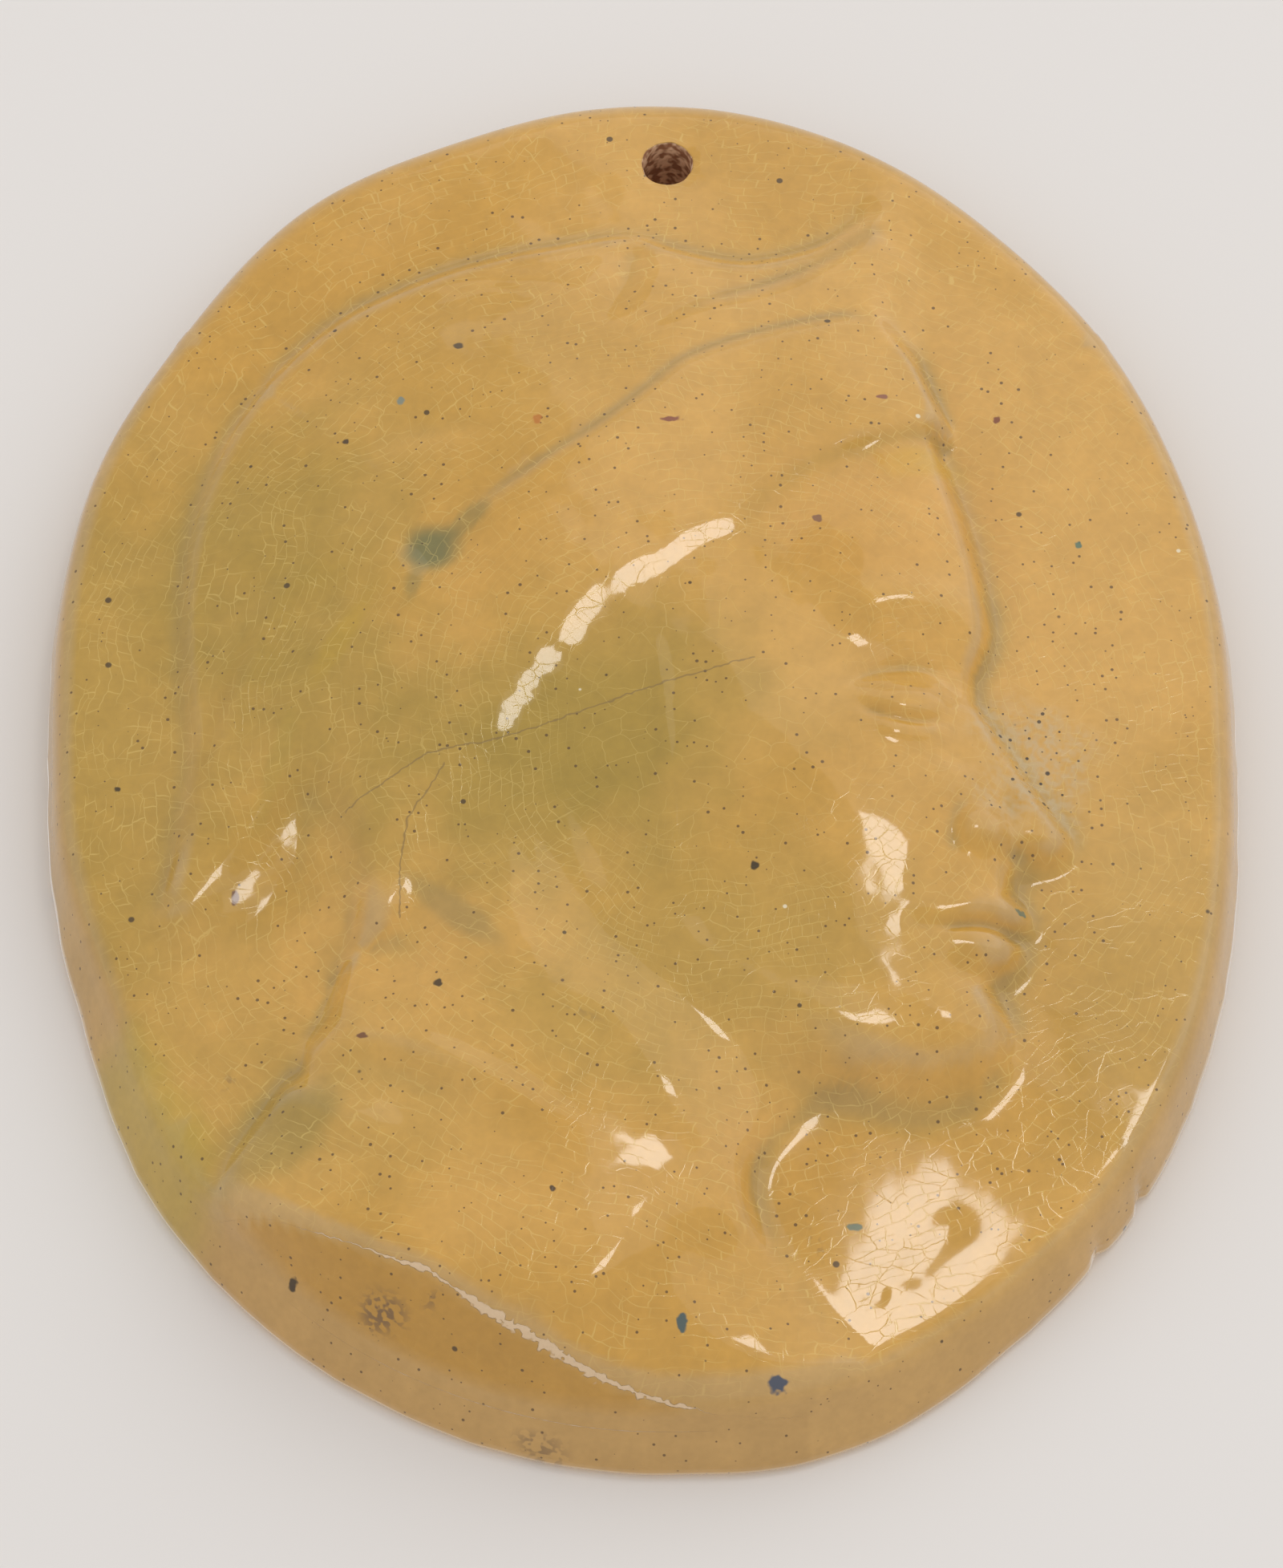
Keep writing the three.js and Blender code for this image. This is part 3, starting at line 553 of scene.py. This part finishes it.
for wider, h in (
    (0.17, lip_height - 0.14), (0.03, lip_height - 0.4), (-0.05, lip_height - 0.9), (-0.1, lip_height - 1.8),
    (-0.05, 11), (-0.01, 8.5), (-0.07, 6), (0, 3.5), (-0.05, 1.2), (0.15, 0),
):
    drawn = bmesh.ops.extrude_edge_only(clay, edges=ring_edges)["geom"]
    ring_edges = [g for g in drawn if isinstance(g, bmesh.types.BMEdge) and g.is_boundary]
    for v in {v for e in ring_edges for v in e.verts}:
        a = math.atan2(v.co.z, v.co.x)
        rough = 0.06 * math.sin(5 * a + 2.1 * h) + 0.05 * math.sin(11 * a - 1.3 * h)
        r = hole_radius + wider + rough
        v.co = Vector((r * math.cos(a) / 1000, -h / 1000, r * math.sin(a) / 1000))
        v[layers["bore"]] = 1 if h < lip_height - 0.3 else 0.3
bore_edges = ring_edges

# The side wall is drawn back from the rim, slightly full, with two small chips at the foot.
ring_edges = outer_edges
for lean, back_from, h, back_mark in (
    (0.66, 0.1, 7, 0), (0.33, 0.13, 4.8, 0), (0.12, 0.12, 2.8, 0), (0, 0.15, 1.4, 0), (0, 0.1, 0.6, 0),
    (0, 0.8, 0, 0.5), (0, 7, 0, 1),
):
    drawn = bmesh.ops.extrude_edge_only(clay, edges=ring_edges)["geom"]
    ring_edges = [g for g in drawn if isinstance(g, bmesh.types.BMEdge) and g.is_boundary]
    for v in {v for e in ring_edges for v in e.verts}:
        a = math.atan2(v.co.z * 1000 + hole_height, v.co.x * 1000 + hole_offset)
        chip = 1.3 * math.exp(-(((a + 0.79) / 0.012) ** 2)) + 1.0 * math.exp(-(((a + 0.892) / 0.014) ** 2))
        uneven = 0.12 * math.sin(9 * a) + 0.1 * math.sin(23 * a + 1) + 0.06 * math.sin(51 * a)
        low = 1 if h < 3 else 0.3
        foot_at, top_at = (float(f(np.array([a]))[0]) for f in (outline, top_edge))
        r = foot_at - (foot_at - top_at) * lean - back_from
        r -= (chip + abs(uneven)) * low * (back_from < 5)
        v.co = place(a, r, h)
        v[layers["rim"]] = 1
        v[layers["worn"]] = min(chip, 1) * (h < 3)
        v[layers["edge"]] = 9 - 9 * min(chip, 1) * (h < 3)
        v[layers["back"]] = back_mark
back_edges = ring_edges

# The back is the flat of the mould board, left bare.
filled = bmesh.ops.triangle_fill(clay, use_beauty=True, use_dissolve=False, edges=back_edges + bore_edges)
back_faces = [g for g in filled["geom"] if isinstance(g, bmesh.types.BMFace)]
for v in {v for e in bore_edges for v in e.verts}:
    v[layers["back"]] = 1
bmesh.ops.recalc_face_normals(clay, faces=clay.faces)
for f in clay.faces:
    f.smooth = True
for f in back_faces:
    f.smooth = False
    f.material_index = 1
# Ground colour of the glaze, laid down point by point: mustard, cloudy, olive where it lies deep,
# grey-tan where it thins over an edge, with painted shade along the foot of steps, in two fold
# creases, under the collar fold and on the cut face. Flecks, cracks and smudges are kept as places
# for the glaze.
mustard, warm, olive = (0.575, 0.315, 0.058), (0.64, 0.36, 0.084), (0.34, 0.235, 0.035)
points = np.array([v.co[:] for v in clay.verts]) * 1000
x, z = points[:, 0] + hole_offset, points[:, 2] + hole_height
read = {name: np.array([v[layers[name]] for v in clay.verts]) for name in names}
cloud = clouds(x, z, 9, 7.5)
wide_cloud = clouds(x, z, 34, 2.5)


def towards(below_it, over_it, share):
    return below_it + (np.array(over_it) - below_it) * np.reshape(share, (-1, 1))


def patch(centre, size, turned, edge, ragged):
    dx, dz = x - centre[0], z - centre[1]
    c, s = math.cos(turned), math.sin(turned)
    away = np.hypot((dx * c + dz * s) / size[0], (dz * c - dx * s) / size[1]) + ragged * cloud
    return 1 - ease(away, 1 - edge, 1)


ground = towards(np.tile(mustard, (len(x), 1)), warm, ease(wide_cloud, -0.4, 0.4))
for centre, size, turned, share in (
    ((-8, -6), (46, 36), 0.2, 0.75), ((-24, -18), (36, 30), 0.4, 0.5), ((-100, -5), (75, 110), 0, 0.58),
    ((-58, 30), (34, 42), -0.3, 0.55), ((-50, 0), (28, 34), 0, 0.45), ((10, -45), (48, 34), 0, 0.5),
    ((82, -50), (32, 60), 0, 0.3), ((-50, -75), (40, 30), 0, 0.3), ((-30, 62), (40, 30), 0, 0.15),
    ((-10, -64), (30, 15), -0.5, 0.35),
):
    ground = towards(ground, olive, share * patch(centre, size, turned, 0.85, 0.12))
side_part = ease(read["rim"], 0.5, 1)
on_front = np.clip(1 - side_part - read["cut"], 0, 1)
ground = towards(ground, (0.42, 0.29, 0.07), 0.35 * on_front * ease(-read["stand"], 0.1, 1.1))
# Painted shade: a thin dark olive-grey line along the narrow foot of each step.
ground = towards(ground, (0.27, 0.2, 0.09), 0.35 * on_front * ease(-read["crest"], 0.08, 0.45))
ground = towards(ground, (0.50, 0.36, 0.19), 0.45 * on_front * ease(read["crest"], 0.14, 0.42))
# Cut face: the glaze a little more orange there, and darker as painted shade for a face turned down away from the
# light.
ground = towards(ground, (0.50, 0.267, 0.05), 0.9 * read["cut"])
ground = towards(ground, (0.53, 0.325, 0.12), 0.8 * side_part)
for centre, size, turned, share, stain in (
    ((46, 46), (9, 4.5), 0.2, 0.6, (0.60, 0.36, 0.03)), ((-49, 12), (2.6, 12), -0.5, 0.35, (0.52, 0.33, 0.03)),
    ((-60, -12), (2.4, 14), -0.25, 0.35, (0.42, 0.29, 0.05)), ((-80, -72), (12, 26), 0.45, 0.5, (0.47, 0.35, 0.045)),
    ((-34.6, 27.6), (5.8, 6.2), -0.3, 0.9, (0.165, 0.165, 0.065)),
    ((-29, 32.5), (6.5, 2.2), 0.75, 0.5, (0.22, 0.19, 0.065)),
    ((-37.5, 21.5), (2, 5.5), -0.2, 0.45, (0.2, 0.18, 0.065)),
    # Painted shade: a dark olive band under the collar fold.
    ((-58, -78), (10, 16), -0.75, 0.45, (0.25, 0.2, 0.045)),
    ((-30, -40), (14, 3.2), -0.75, 0.4, (0.25, 0.2, 0.08)), ((40, 36), (26, 20), 0, 0.4, (0.69, 0.36, 0.08)),
):
    ground = towards(ground, stain, share * patch(centre, size, turned, 0.6, 0.25))
# Painted shade in grey-brown along the long fold and the upper fold, partly glaze gathered in them; the brim and tail
# creases are tinted ochre.
crease_shade, ochre = (0.33, 0.24, 0.1), (0.45, 0.26, 0.04)
for line, share, stain in zip(creases, (1.4, 1.2, 1.4, 0.9), (crease_shade, crease_shade, ochre, ochre)):
    ground = towards(ground, stain, share * line(x, z))
ground *= (1 + 0.04 * cloud + 0.05 * clouds(x, z, 3, 9.5))[:, None]

flecks = (
    ((6.1, -111), (0.9, 1.4), (0.03, 0.09, 0.11)), ((21, -119.6), (1.5, 1.1), (0.025, 0.06, 0.12)),
    ((33.5, -91.7), (1.3, 0.7), (0.12, 0.17, 0.12)), ((72, 34.3), (0.7, 0.7), (0.08, 0.17, 0.12)),
    ((60.5, -37.3), (0.9, 0.7), (0.12, 0.17, 0.12)), ((-40.2, 57.7), (0.8, 0.9), (0.2, 0.24, 0.2)),
    ((-17.6, 52.6), (0.8, 1.0), (0.50, 0.18, 0.03)), ((4.8, 52.2), (1.7, 0.6), (0.22, 0.06, 0.04)),
    ((39.7, 58.5), (0.9, 0.5), (0.25, 0.09, 0.06)), ((59, 58.7), (0.6, 0.7), (0.18, 0.04, 0.02)),
    ((-65.7, -33.5), (0.6, 1.3), (0.13, 0.05, 0.02)), ((28.7, 33.4), (0.8, 0.8), (0.22, 0.10, 0.05)),
    ((-44.7, -61.9), (1.0, 0.6), (0.16, 0.06, 0.03)), ((17.8, -32.7), (0.75, 0.75), (0.012, 0.01, 0.008)),
    ((-55.2, -99.8), (0.8, 0.8), (0.015, 0.01, 0.006)), ((-32.6, -52.8), (0.9, 0.7), (0.03, 0.02, 0.01)),
    ((-85.4, -12.2), (0.6, 0.6), (0.03, 0.02, 0.01)), ((-14.1, -90.6), (0.55, 0.55), (0.05, 0.03, 0.02)),
    ((-49.3, 49.9), (0.6, 0.6), (0.05, 0.03, 0.02)), ((-31, 69.1), (1.1, 0.6), (0.06, 0.04, 0.02)),
)
fleck, stained = np.full((len(x), 3), 9.0), np.zeros((len(x), 3))
best = np.full(len(x), 1e9)
for (fx, fz), (rx, rz), stain in flecks:
    away = np.hypot(x - fx, z - fz)
    near = away < best
    best[near] = away[near]
    fleck[near] = np.stack([(x - fx) / rx, (z - fz) / rz, np.maximum(away - 3.5, 0)], 1)[near]
    stained[near] = stain

crack, best = np.full((len(x), 3), 9.0), np.full(len(x), 1e9)
for line in (
    ((-48, -20), (-35, -11), (-25, -9), (-11, -4), (0, 0), (9, 3), (18, 6)),
    ((-32, -13), (-38, -23), (-39, -31), (-39, -40)),
):
    for (ax, az), (bx, bz) in zip(line, line[1:]):
        size = math.hypot(bx - ax, bz - az)
        along = ((x - ax) * (bx - ax) + (z - az) * (bz - az)) / size
        beside = ((bx - ax) * (z - az) - (bz - az) * (x - ax)) / size
        beyond = np.maximum(np.maximum(-along, along - size), 0)
        away = np.hypot(beside, beyond)
        near = away < best
        best[near] = away[near]
        crack[near] = np.stack([beside, beyond, np.maximum(away - 3, 0)], 1)[near]

smudge = sum(share * patch(centre, size, turned, 0.9, 0.5) for centre, size, turned, share in (
    ((-40.5, -107), (5, 2.4), -0.3, 1.0), ((-33, -107.5), (2.2, 1.4), 0, 0.8), ((-17.2, -124), (7, 1.8), -0.35, 0.8),
    ((-9, -60), (6, 1.2), -0.4, 0.5), ((-66, -66), (3.5, 1.4), 0.9, 0.5), ((28, -96), (5, 1), -1.1, 0.4),
))
scour = patch((63, -9), (12, 20), 0, 0.9, 0.5)
dots = patch((-18, -103), (15, 9), -0.6, 0.6, 0) * (1 - ease(np.abs(read["edge"] - 0.3), 0.7, 1.5))
shown = np.clip(1 - side_part - 0.9 * read["cut"] - 0.5 * ease(read["crest"], 0.1, 0.3), 0, 1)
for name, values in (("crazed", shown), ("smudge", smudge), ("scour", scour), ("dots", dots)):
    layer = clay.verts.layers.float.new(name)
    for v, value in zip(clay.verts, values):
        v[layer] = value
for name, values in (("fleck", fleck), ("crack", crack)):
    layer = clay.verts.layers.float_vector.new(name)
    for v, value in zip(clay.verts, values):
        v[layer] = value
for name, values in (("ground", ground), ("stain", stained)):
    layer = clay.verts.layers.float_color.new(name)
    for v, value in zip(clay.verts, values):
        v[layer] = (*value, 1)
plaque_mesh = bpy.data.meshes.new("glazed_plaque")
clay.to_mesh(plaque_mesh)
clay.free()
glazed_plaque = bpy.data.objects.new("glazed_plaque", plaque_mesh)
bpy.context.scene.collection.objects.link(glazed_plaque)


# Glaze: thick, glossy and mustard yellow, greener where it lies deep, thin and greyish over the
# ridges, crazed all over and peppered with iron specks, with a few firing flaws.
def sums(tree, operation, a, b=0.0, c=0.0, clamp=False):
    made = add(tree, "ShaderNodeMath", {0: a, 1: b, 2: c}, operation=operation, use_clamp=clamp)
    return made.outputs[0]


def fade(tree, value, low, high):
    made = add(tree, "ShaderNodeMapRange", {0: value, 1: low, 2: high}, interpolation_type="SMOOTHSTEP")
    return made.outputs[0]


def tint(tree, share, below_it, over_it, strength=1.0):
    if strength != 1.0:
        share = sums(tree, "MULTIPLY", share, strength)
    return add(tree, "ShaderNodeMix", {0: share, 6: below_it, 7: over_it}, data_type="RGBA").outputs[2]


def noise(tree, where, size, detail=1.0, roughness=0.5, output=0):
    put = {"Vector": where, "Scale": 1 / size, "Detail": detail, "Roughness": roughness}
    return add(tree, "ShaderNodeTexNoise", put).outputs[output]


def new_group(name, takes, gives):
    tree = bpy.data.node_groups.new(name, "ShaderNodeTree")
    for label, kind, value in takes:
        socket = tree.interface.new_socket(label, in_out="INPUT", socket_type=kind)
        socket.default_value = value
    for label, kind in gives:
        tree.interface.new_socket(label, in_out="OUTPUT", socket_type=kind)
    return tree, tree.nodes.new("NodeGroupInput"), tree.nodes.new("NodeGroupOutput")


def use(tree, group, **put):
    return add(tree, "ShaderNodeGroup", {k.replace("_", " "): v for k, v in put.items()}, node_tree=group)


flat, FLOAT, VECTOR = (0.0, 0.0, 0.0), "NodeSocketFloat", "NodeSocketVector"

# Place on the plaque in millimetres from the middle of the oval, seen square on.
on_plaque, given, made_out = new_group("on_plaque", [], [("Place", VECTOR), ("Solid", VECTOR)])
where = add(on_plaque, "ShaderNodeTexCoord").outputs["Object"]
millimetres = add(
    on_plaque, "ShaderNodeMapping", {"Vector": where, "Location": (hole_offset, 0, hole_height), "Scale": (1000,) * 3}
).outputs[0]
parts = add(on_plaque, "ShaderNodeSeparateXYZ", {0: millimetres})
square_on = add(on_plaque, "ShaderNodeCombineXYZ", {0: parts.outputs[0], 1: parts.outputs[2]}).outputs[0]
on_plaque.links.new(square_on, made_out.inputs["Place"])
on_plaque.links.new(millimetres, made_out.inputs["Solid"])

# Crazing: fine pale hairlines. Long ones run round the middle side by side and short ones cross
# them, all a little crooked and fading in and out.
crazing, given, made_out = new_group("crazing", [("Place", VECTOR, flat), ("Width", FLOAT, 0.12)], [("Line", FLOAT)])
place_on, width = given.outputs["Place"], given.outputs["Width"]
drift = noise(crazing, place_on, 24.0, 1.0, output=1)
shake = noise(crazing, place_on, 1.6, 0.0, output=1)
drifted = add(
    crazing, "ShaderNodeVectorMath", {0: drift, 1: (15.0, 15.0, 0.0), 2: place_on}, operation="MULTIPLY_ADD"
).outputs[0]
drifted = add(
    crazing, "ShaderNodeVectorMath", {0: shake, 1: (0.7, 0.7, 0.0), 2: drifted}, operation="MULTIPLY_ADD"
).outputs[0]
off = add(crazing, "ShaderNodeVectorMath", {0: drifted, 1: (22.0, 4.0, 0.0)}, operation="SUBTRACT").outputs[0]
across = add(crazing, "ShaderNodeSeparateXYZ", {0: off})
round_it = sums(crazing, "MULTIPLY", sums(crazing, "ARCTAN2", across.outputs[1], across.outputs[0]), 58.0)
out_from = add(crazing, "ShaderNodeVectorMath", {0: off}, operation="LENGTH").outputs["Value"]
rows = add(crazing, "ShaderNodeCombineXYZ", {0: round_it, 1: out_from}).outputs[0]
bricks = add(
    crazing, "ShaderNodeTexBrick",
    {
        "Vector": rows, "Color1": (0, 0, 0, 1), "Color2": (0, 0, 0, 1), "Mortar": (1, 1, 1, 1), "Scale": 1.0,
        "Mortar Size": width, "Mortar Smooth": 0.6, "Brick Width": 2.7, "Row Height": 1.8,
    },
    offset=0.37, squash=1.35, squash_frequency=3,
).outputs["Fac"]
laid = add(crazing, "ShaderNodeMapping", {"Vector": drifted, "Rotation": (0, 0, 0.45), "Scale": (0.2, 0.27, 1)})
net = add(
    crazing, "ShaderNodeTexVoronoi", {"Vector": laid.outputs[0], "Scale": 1.0, "Randomness": 0.8},
    voronoi_dimensions="2D", feature="DISTANCE_TO_EDGE",
).outputs[0]
crossing = sums(crazing, "DIVIDE", net, sums(crazing, "MULTIPLY", width, 0.24))
crossing = sums(crazing, "SUBTRACT", 1.0, crossing, clamp=True)
patchy = add(crazing, "ShaderNodeSeparateColor", {0: noise(crazing, place_on, 7.0, 1.0, output=1)})
bricks = sums(crazing, "MULTIPLY", bricks, fade(crazing, patchy.outputs[0], 0.34, 0.6))
bricks = sums(crazing, "MULTIPLY", bricks, fade(crazing, out_from, 16.0, 36.0))
crossing = sums(crazing, "MULTIPLY", crossing, fade(crazing, patchy.outputs[1], 0.36, 0.6))
crazing.links.new(sums(crazing, "MAXIMUM", bricks, crossing), made_out.inputs["Line"])

# Specks: small round dots, only some of the places filled.
specks, given, made_out = new_group(
    "specks",
    [("Solid", VECTOR, flat), ("Spacing", FLOAT, 5.0), ("Size", FLOAT, 0.3), ("Share", FLOAT, 0.4)],
    [("Dot", FLOAT), ("Away", FLOAT), ("Chance", FLOAT)],
)
pitch = sums(specks, "DIVIDE", 1.0, given.outputs["Spacing"])
dots = add(specks, "ShaderNodeTexVoronoi", {"Vector": given.outputs["Solid"], "Scale": pitch})
chance = add(specks, "ShaderNodeSeparateColor", {0: dots.outputs["Color"]})
own_size = sums(specks, "MULTIPLY", given.outputs["Size"], sums(specks, "ADD", chance.outputs[1], 0.35))
apart = sums(specks, "MULTIPLY", dots.outputs["Distance"], given.outputs["Spacing"])
dot = sums(specks, "MULTIPLY_ADD", sums(specks, "DIVIDE", apart, own_size), -2.5, 3.5, clamp=True)
filled_in = sums(specks, "LESS_THAN", chance.outputs[0], given.outputs["Share"])
specks.links.new(sums(specks, "MULTIPLY", dot, filled_in), made_out.inputs["Dot"])
specks.links.new(apart, made_out.inputs["Away"])
specks.links.new(chance.outputs[2], made_out.inputs["Chance"])

body_clay = (0.75, 0.56, 0.37, 1)
iron = (0.085, 0.045, 0.02, 1)

glaze = new_material("glaze")
tree = glaze.node_tree
here = use(tree, on_plaque)
place_on, solid = here.outputs["Place"], here.outputs["Solid"]
kept = {
    name: add(tree, "ShaderNodeAttribute", attribute_name=name)
    for name in ("ground", "fleck", "stain", "crack", "crazed", "smudge", "scour", "dots", "edge", "worn", "bore")
}
fine_colour = noise(tree, solid, 1.5, 1.0, 0.6, output=1)
fine = add(tree, "ShaderNodeSeparateColor", {0: fine_colour})
fine, other_fine = fine.outputs[0], fine.outputs[1]
mottle = sums(tree, "MULTIPLY_ADD", fine, 0.16, 0.92)
colour = add(
    tree, "ShaderNodeVectorMath", {0: kept["ground"].outputs["Color"], "Scale": mottle}, operation="SCALE"
).outputs[0]

craze = use(tree, crazing, Place=place_on, Width=0.085).outputs[0]
craze = sums(tree, "MULTIPLY", craze, kept["crazed"].outputs["Fac"])
colour = tint(tree, craze, colour, (0.82, 0.62, 0.2, 1), 0.32)

small = use(tree, specks, Solid=solid, Spacing=1.6, Size=0.18, Share=0.55)
large = use(tree, specks, Solid=solid, Spacing=7.5, Size=0.36, Share=0.33)
# Painted highlights: pale specks stand for glints on pinholes in the glaze.
glint_specks = use(tree, specks, Solid=solid, Spacing=11.0, Size=0.3, Share=0.2)
colour = tint(tree, small.outputs[0], colour, iron, 0.8)
colour = tint(tree, large.outputs[0], colour, (0.05, 0.03, 0.015, 1), 0.85)
colour = tint(tree, glint_specks.outputs[0], colour, (0.85, 0.80, 0.62, 1), 0.7)

# Flecks of blue, green and brown, streaky smudges and two hairline cracks.
shaken = add(
    tree, "ShaderNodeVectorMath", {0: fine_colour, 1: (1.6, 1.6, 0.0), 2: kept["fleck"].outputs["Vector"]},
    operation="MULTIPLY_ADD",
).outputs[0]
away = add(tree, "ShaderNodeVectorMath", {0: shaken, 1: (0.8, 0.8, 0.0)}, operation="DISTANCE").outputs["Value"]
colour = tint(tree, fade(tree, away, 1.15, 0.7), colour, kept["stain"].outputs["Color"], 0.9)
smeared = sums(tree, "MULTIPLY", kept["smudge"].outputs["Fac"], fade(tree, other_fine, 0.47, 0.56))
colour = tint(tree, smeared, colour, (0.14, 0.085, 0.05, 1), 0.75)
wander = sums(tree, "MULTIPLY_ADD", fine, 1.0, -0.5)
wander = add(tree, "ShaderNodeCombineXYZ", {0: wander})
from_crack = add(
    tree, "ShaderNodeVectorMath", {0: kept["crack"].outputs["Vector"], 1: wander.outputs[0]}, operation="DISTANCE"
).outputs["Value"]
crack_line = fade(tree, from_crack, 0.24, 0.04)
colour = tint(tree, crack_line, colour, (0.20, 0.13, 0.05, 1), 0.6)

# A dull pitted patch beside the profile, and black dots along the worn edge.
dull = sums(tree, "MULTIPLY", kept["scour"].outputs["Fac"], fade(tree, fine, 0.3, 0.66))
colour = tint(tree, dull, colour, (0.50, 0.42, 0.27, 1), 0.5)
pit_share = sums(tree, "MAXIMUM", kept["scour"].outputs["Fac"], kept["dots"].outputs["Fac"])
pit_size = sums(tree, "MULTIPLY", small.outputs["Chance"], sums(tree, "MULTIPLY", pit_share, 0.5))
pitted = sums(tree, "LESS_THAN", small.outputs["Away"], pit_size)
colour = tint(tree, pitted, colour, (0.03, 0.02, 0.015, 1), 0.85)

# The worn line where the shoulder was cut shows the bare clay.
wavy_edge = sums(tree, "ADD", kept["edge"].outputs["Fac"], sums(tree, "MULTIPLY_ADD", fine, 0.5, -0.25))
wavy_edge = sums(tree, "ABSOLUTE", wavy_edge)
thin = sums(tree, "MAXIMUM", sums(tree, "MULTIPLY_ADD", other_fine, 1.3, -0.37), 0.13)
thin = sums(tree, "MULTIPLY_ADD", thin, kept["worn"].outputs["Fac"], 0.001)
bare = fade(tree, sums(tree, "DIVIDE", wavy_edge, thin), 1.2, 0.7)
colour = tint(tree, bare, colour, body_clay, 0.85)

in_hole = fade(tree, kept["bore"].outputs["Fac"], 0.3, 0.9)
rust = tint(tree, fade(tree, fine, 0.38, 0.62), (0.30, 0.13, 0.06, 1), (0.78, 0.52, 0.33, 1))
colour = tint(tree, in_hole, colour, rust)

matt = sums(tree, "MAXIMUM", in_hole, bare)
rough = sums(tree, "MULTIPLY", sums(tree, "MULTIPLY", fine, matt), 0.4)
rough = sums(tree, "MULTIPLY_ADD", craze, -0.006, rough)
surface = add(tree, "ShaderNodeBump", {"Strength": 1.0, "Distance": 0.001, "Height": rough})
gloss = sums(tree, "MULTIPLY_ADD", sums(tree, "MAXIMUM", matt, sums(tree, "MULTIPLY", dull, 0.5)), 0.6, 0.055)
skin = add(
    tree, "ShaderNodeBsdfPrincipled",
    {"Base Color": colour, "Roughness": gloss, "Normal": surface.outputs[0], "IOR": 1.5},
)
add(tree, "ShaderNodeOutputMaterial", {"Surface": skin.outputs[0]})

# Bare back: buff earthenware, dragged flat on the board, with glaze run over its edge.
bare_clay = new_material("bare_clay")
tree = bare_clay.node_tree
here = use(tree, on_plaque)
place_on, solid = here.outputs["Place"], here.outputs["Solid"]
stretched = add(
    tree, "ShaderNodeMapping", {"Vector": solid, "Rotation": (0, 0.35, 0), "Scale": (0.12, 1, 1)}
).outputs[0]
drag = noise(tree, stretched, 1.6, 3.0, 0.65)
cloud = noise(tree, solid, 13.0, 3.0)
fine = noise(tree, solid, 0.9, 3.0, 0.7)
colour = tint(tree, fade(tree, cloud, 0.3, 0.7), (0.50, 0.36, 0.21, 1), (0.42, 0.28, 0.15, 1))
colour = tint(tree, fade(tree, drag, 0.45, 0.75), colour, (0.58, 0.45, 0.29, 1), 0.3)
edge_read = add(tree, "ShaderNodeAttribute", attribute_name="back").outputs["Fac"]
run_over = fade(tree, sums(tree, "MULTIPLY_ADD", cloud, 0.7, edge_read), 1.12, 0.98)
colour = tint(tree, run_over, colour, (*mustard, 1))
grog = use(tree, specks, Solid=solid, Spacing=3.0, Size=0.35, Share=0.4)
colour = tint(tree, grog.outputs[0], colour, iron, 0.6)
for x, z in ((-38, 46), (44, 30), (2, -62)):
    off = add(tree, "ShaderNodeVectorMath", {0: place_on, 1: (x, z, 0)}, operation="DISTANCE").outputs["Value"]
    stilt = fade(tree, sums(tree, "MULTIPLY_ADD", fine, 2.0, off), 3.4, 2.2)
    colour = tint(tree, stilt, colour, (0.24, 0.17, 0.08, 1), 0.8)
coarse = sums(tree, "MULTIPLY_ADD", fine, 0.16, sums(tree, "MULTIPLY", drag, 0.3))
surface = add(tree, "ShaderNodeBump", {"Strength": 1.0, "Distance": 0.001, "Height": coarse})
gloss = sums(tree, "MULTIPLY_ADD", run_over, -0.65, 0.85)
skin = add(
    tree, "ShaderNodeBsdfPrincipled", {"Base Color": colour, "Roughness": gloss, "Normal": surface.outputs[0]}
)
add(tree, "ShaderNodeOutputMaterial", {"Surface": skin.outputs[0]})

plaque_mesh.materials.append(glaze)
plaque_mesh.materials.append(bare_clay)
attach(glazed_plaque, "root")
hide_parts("plaque")
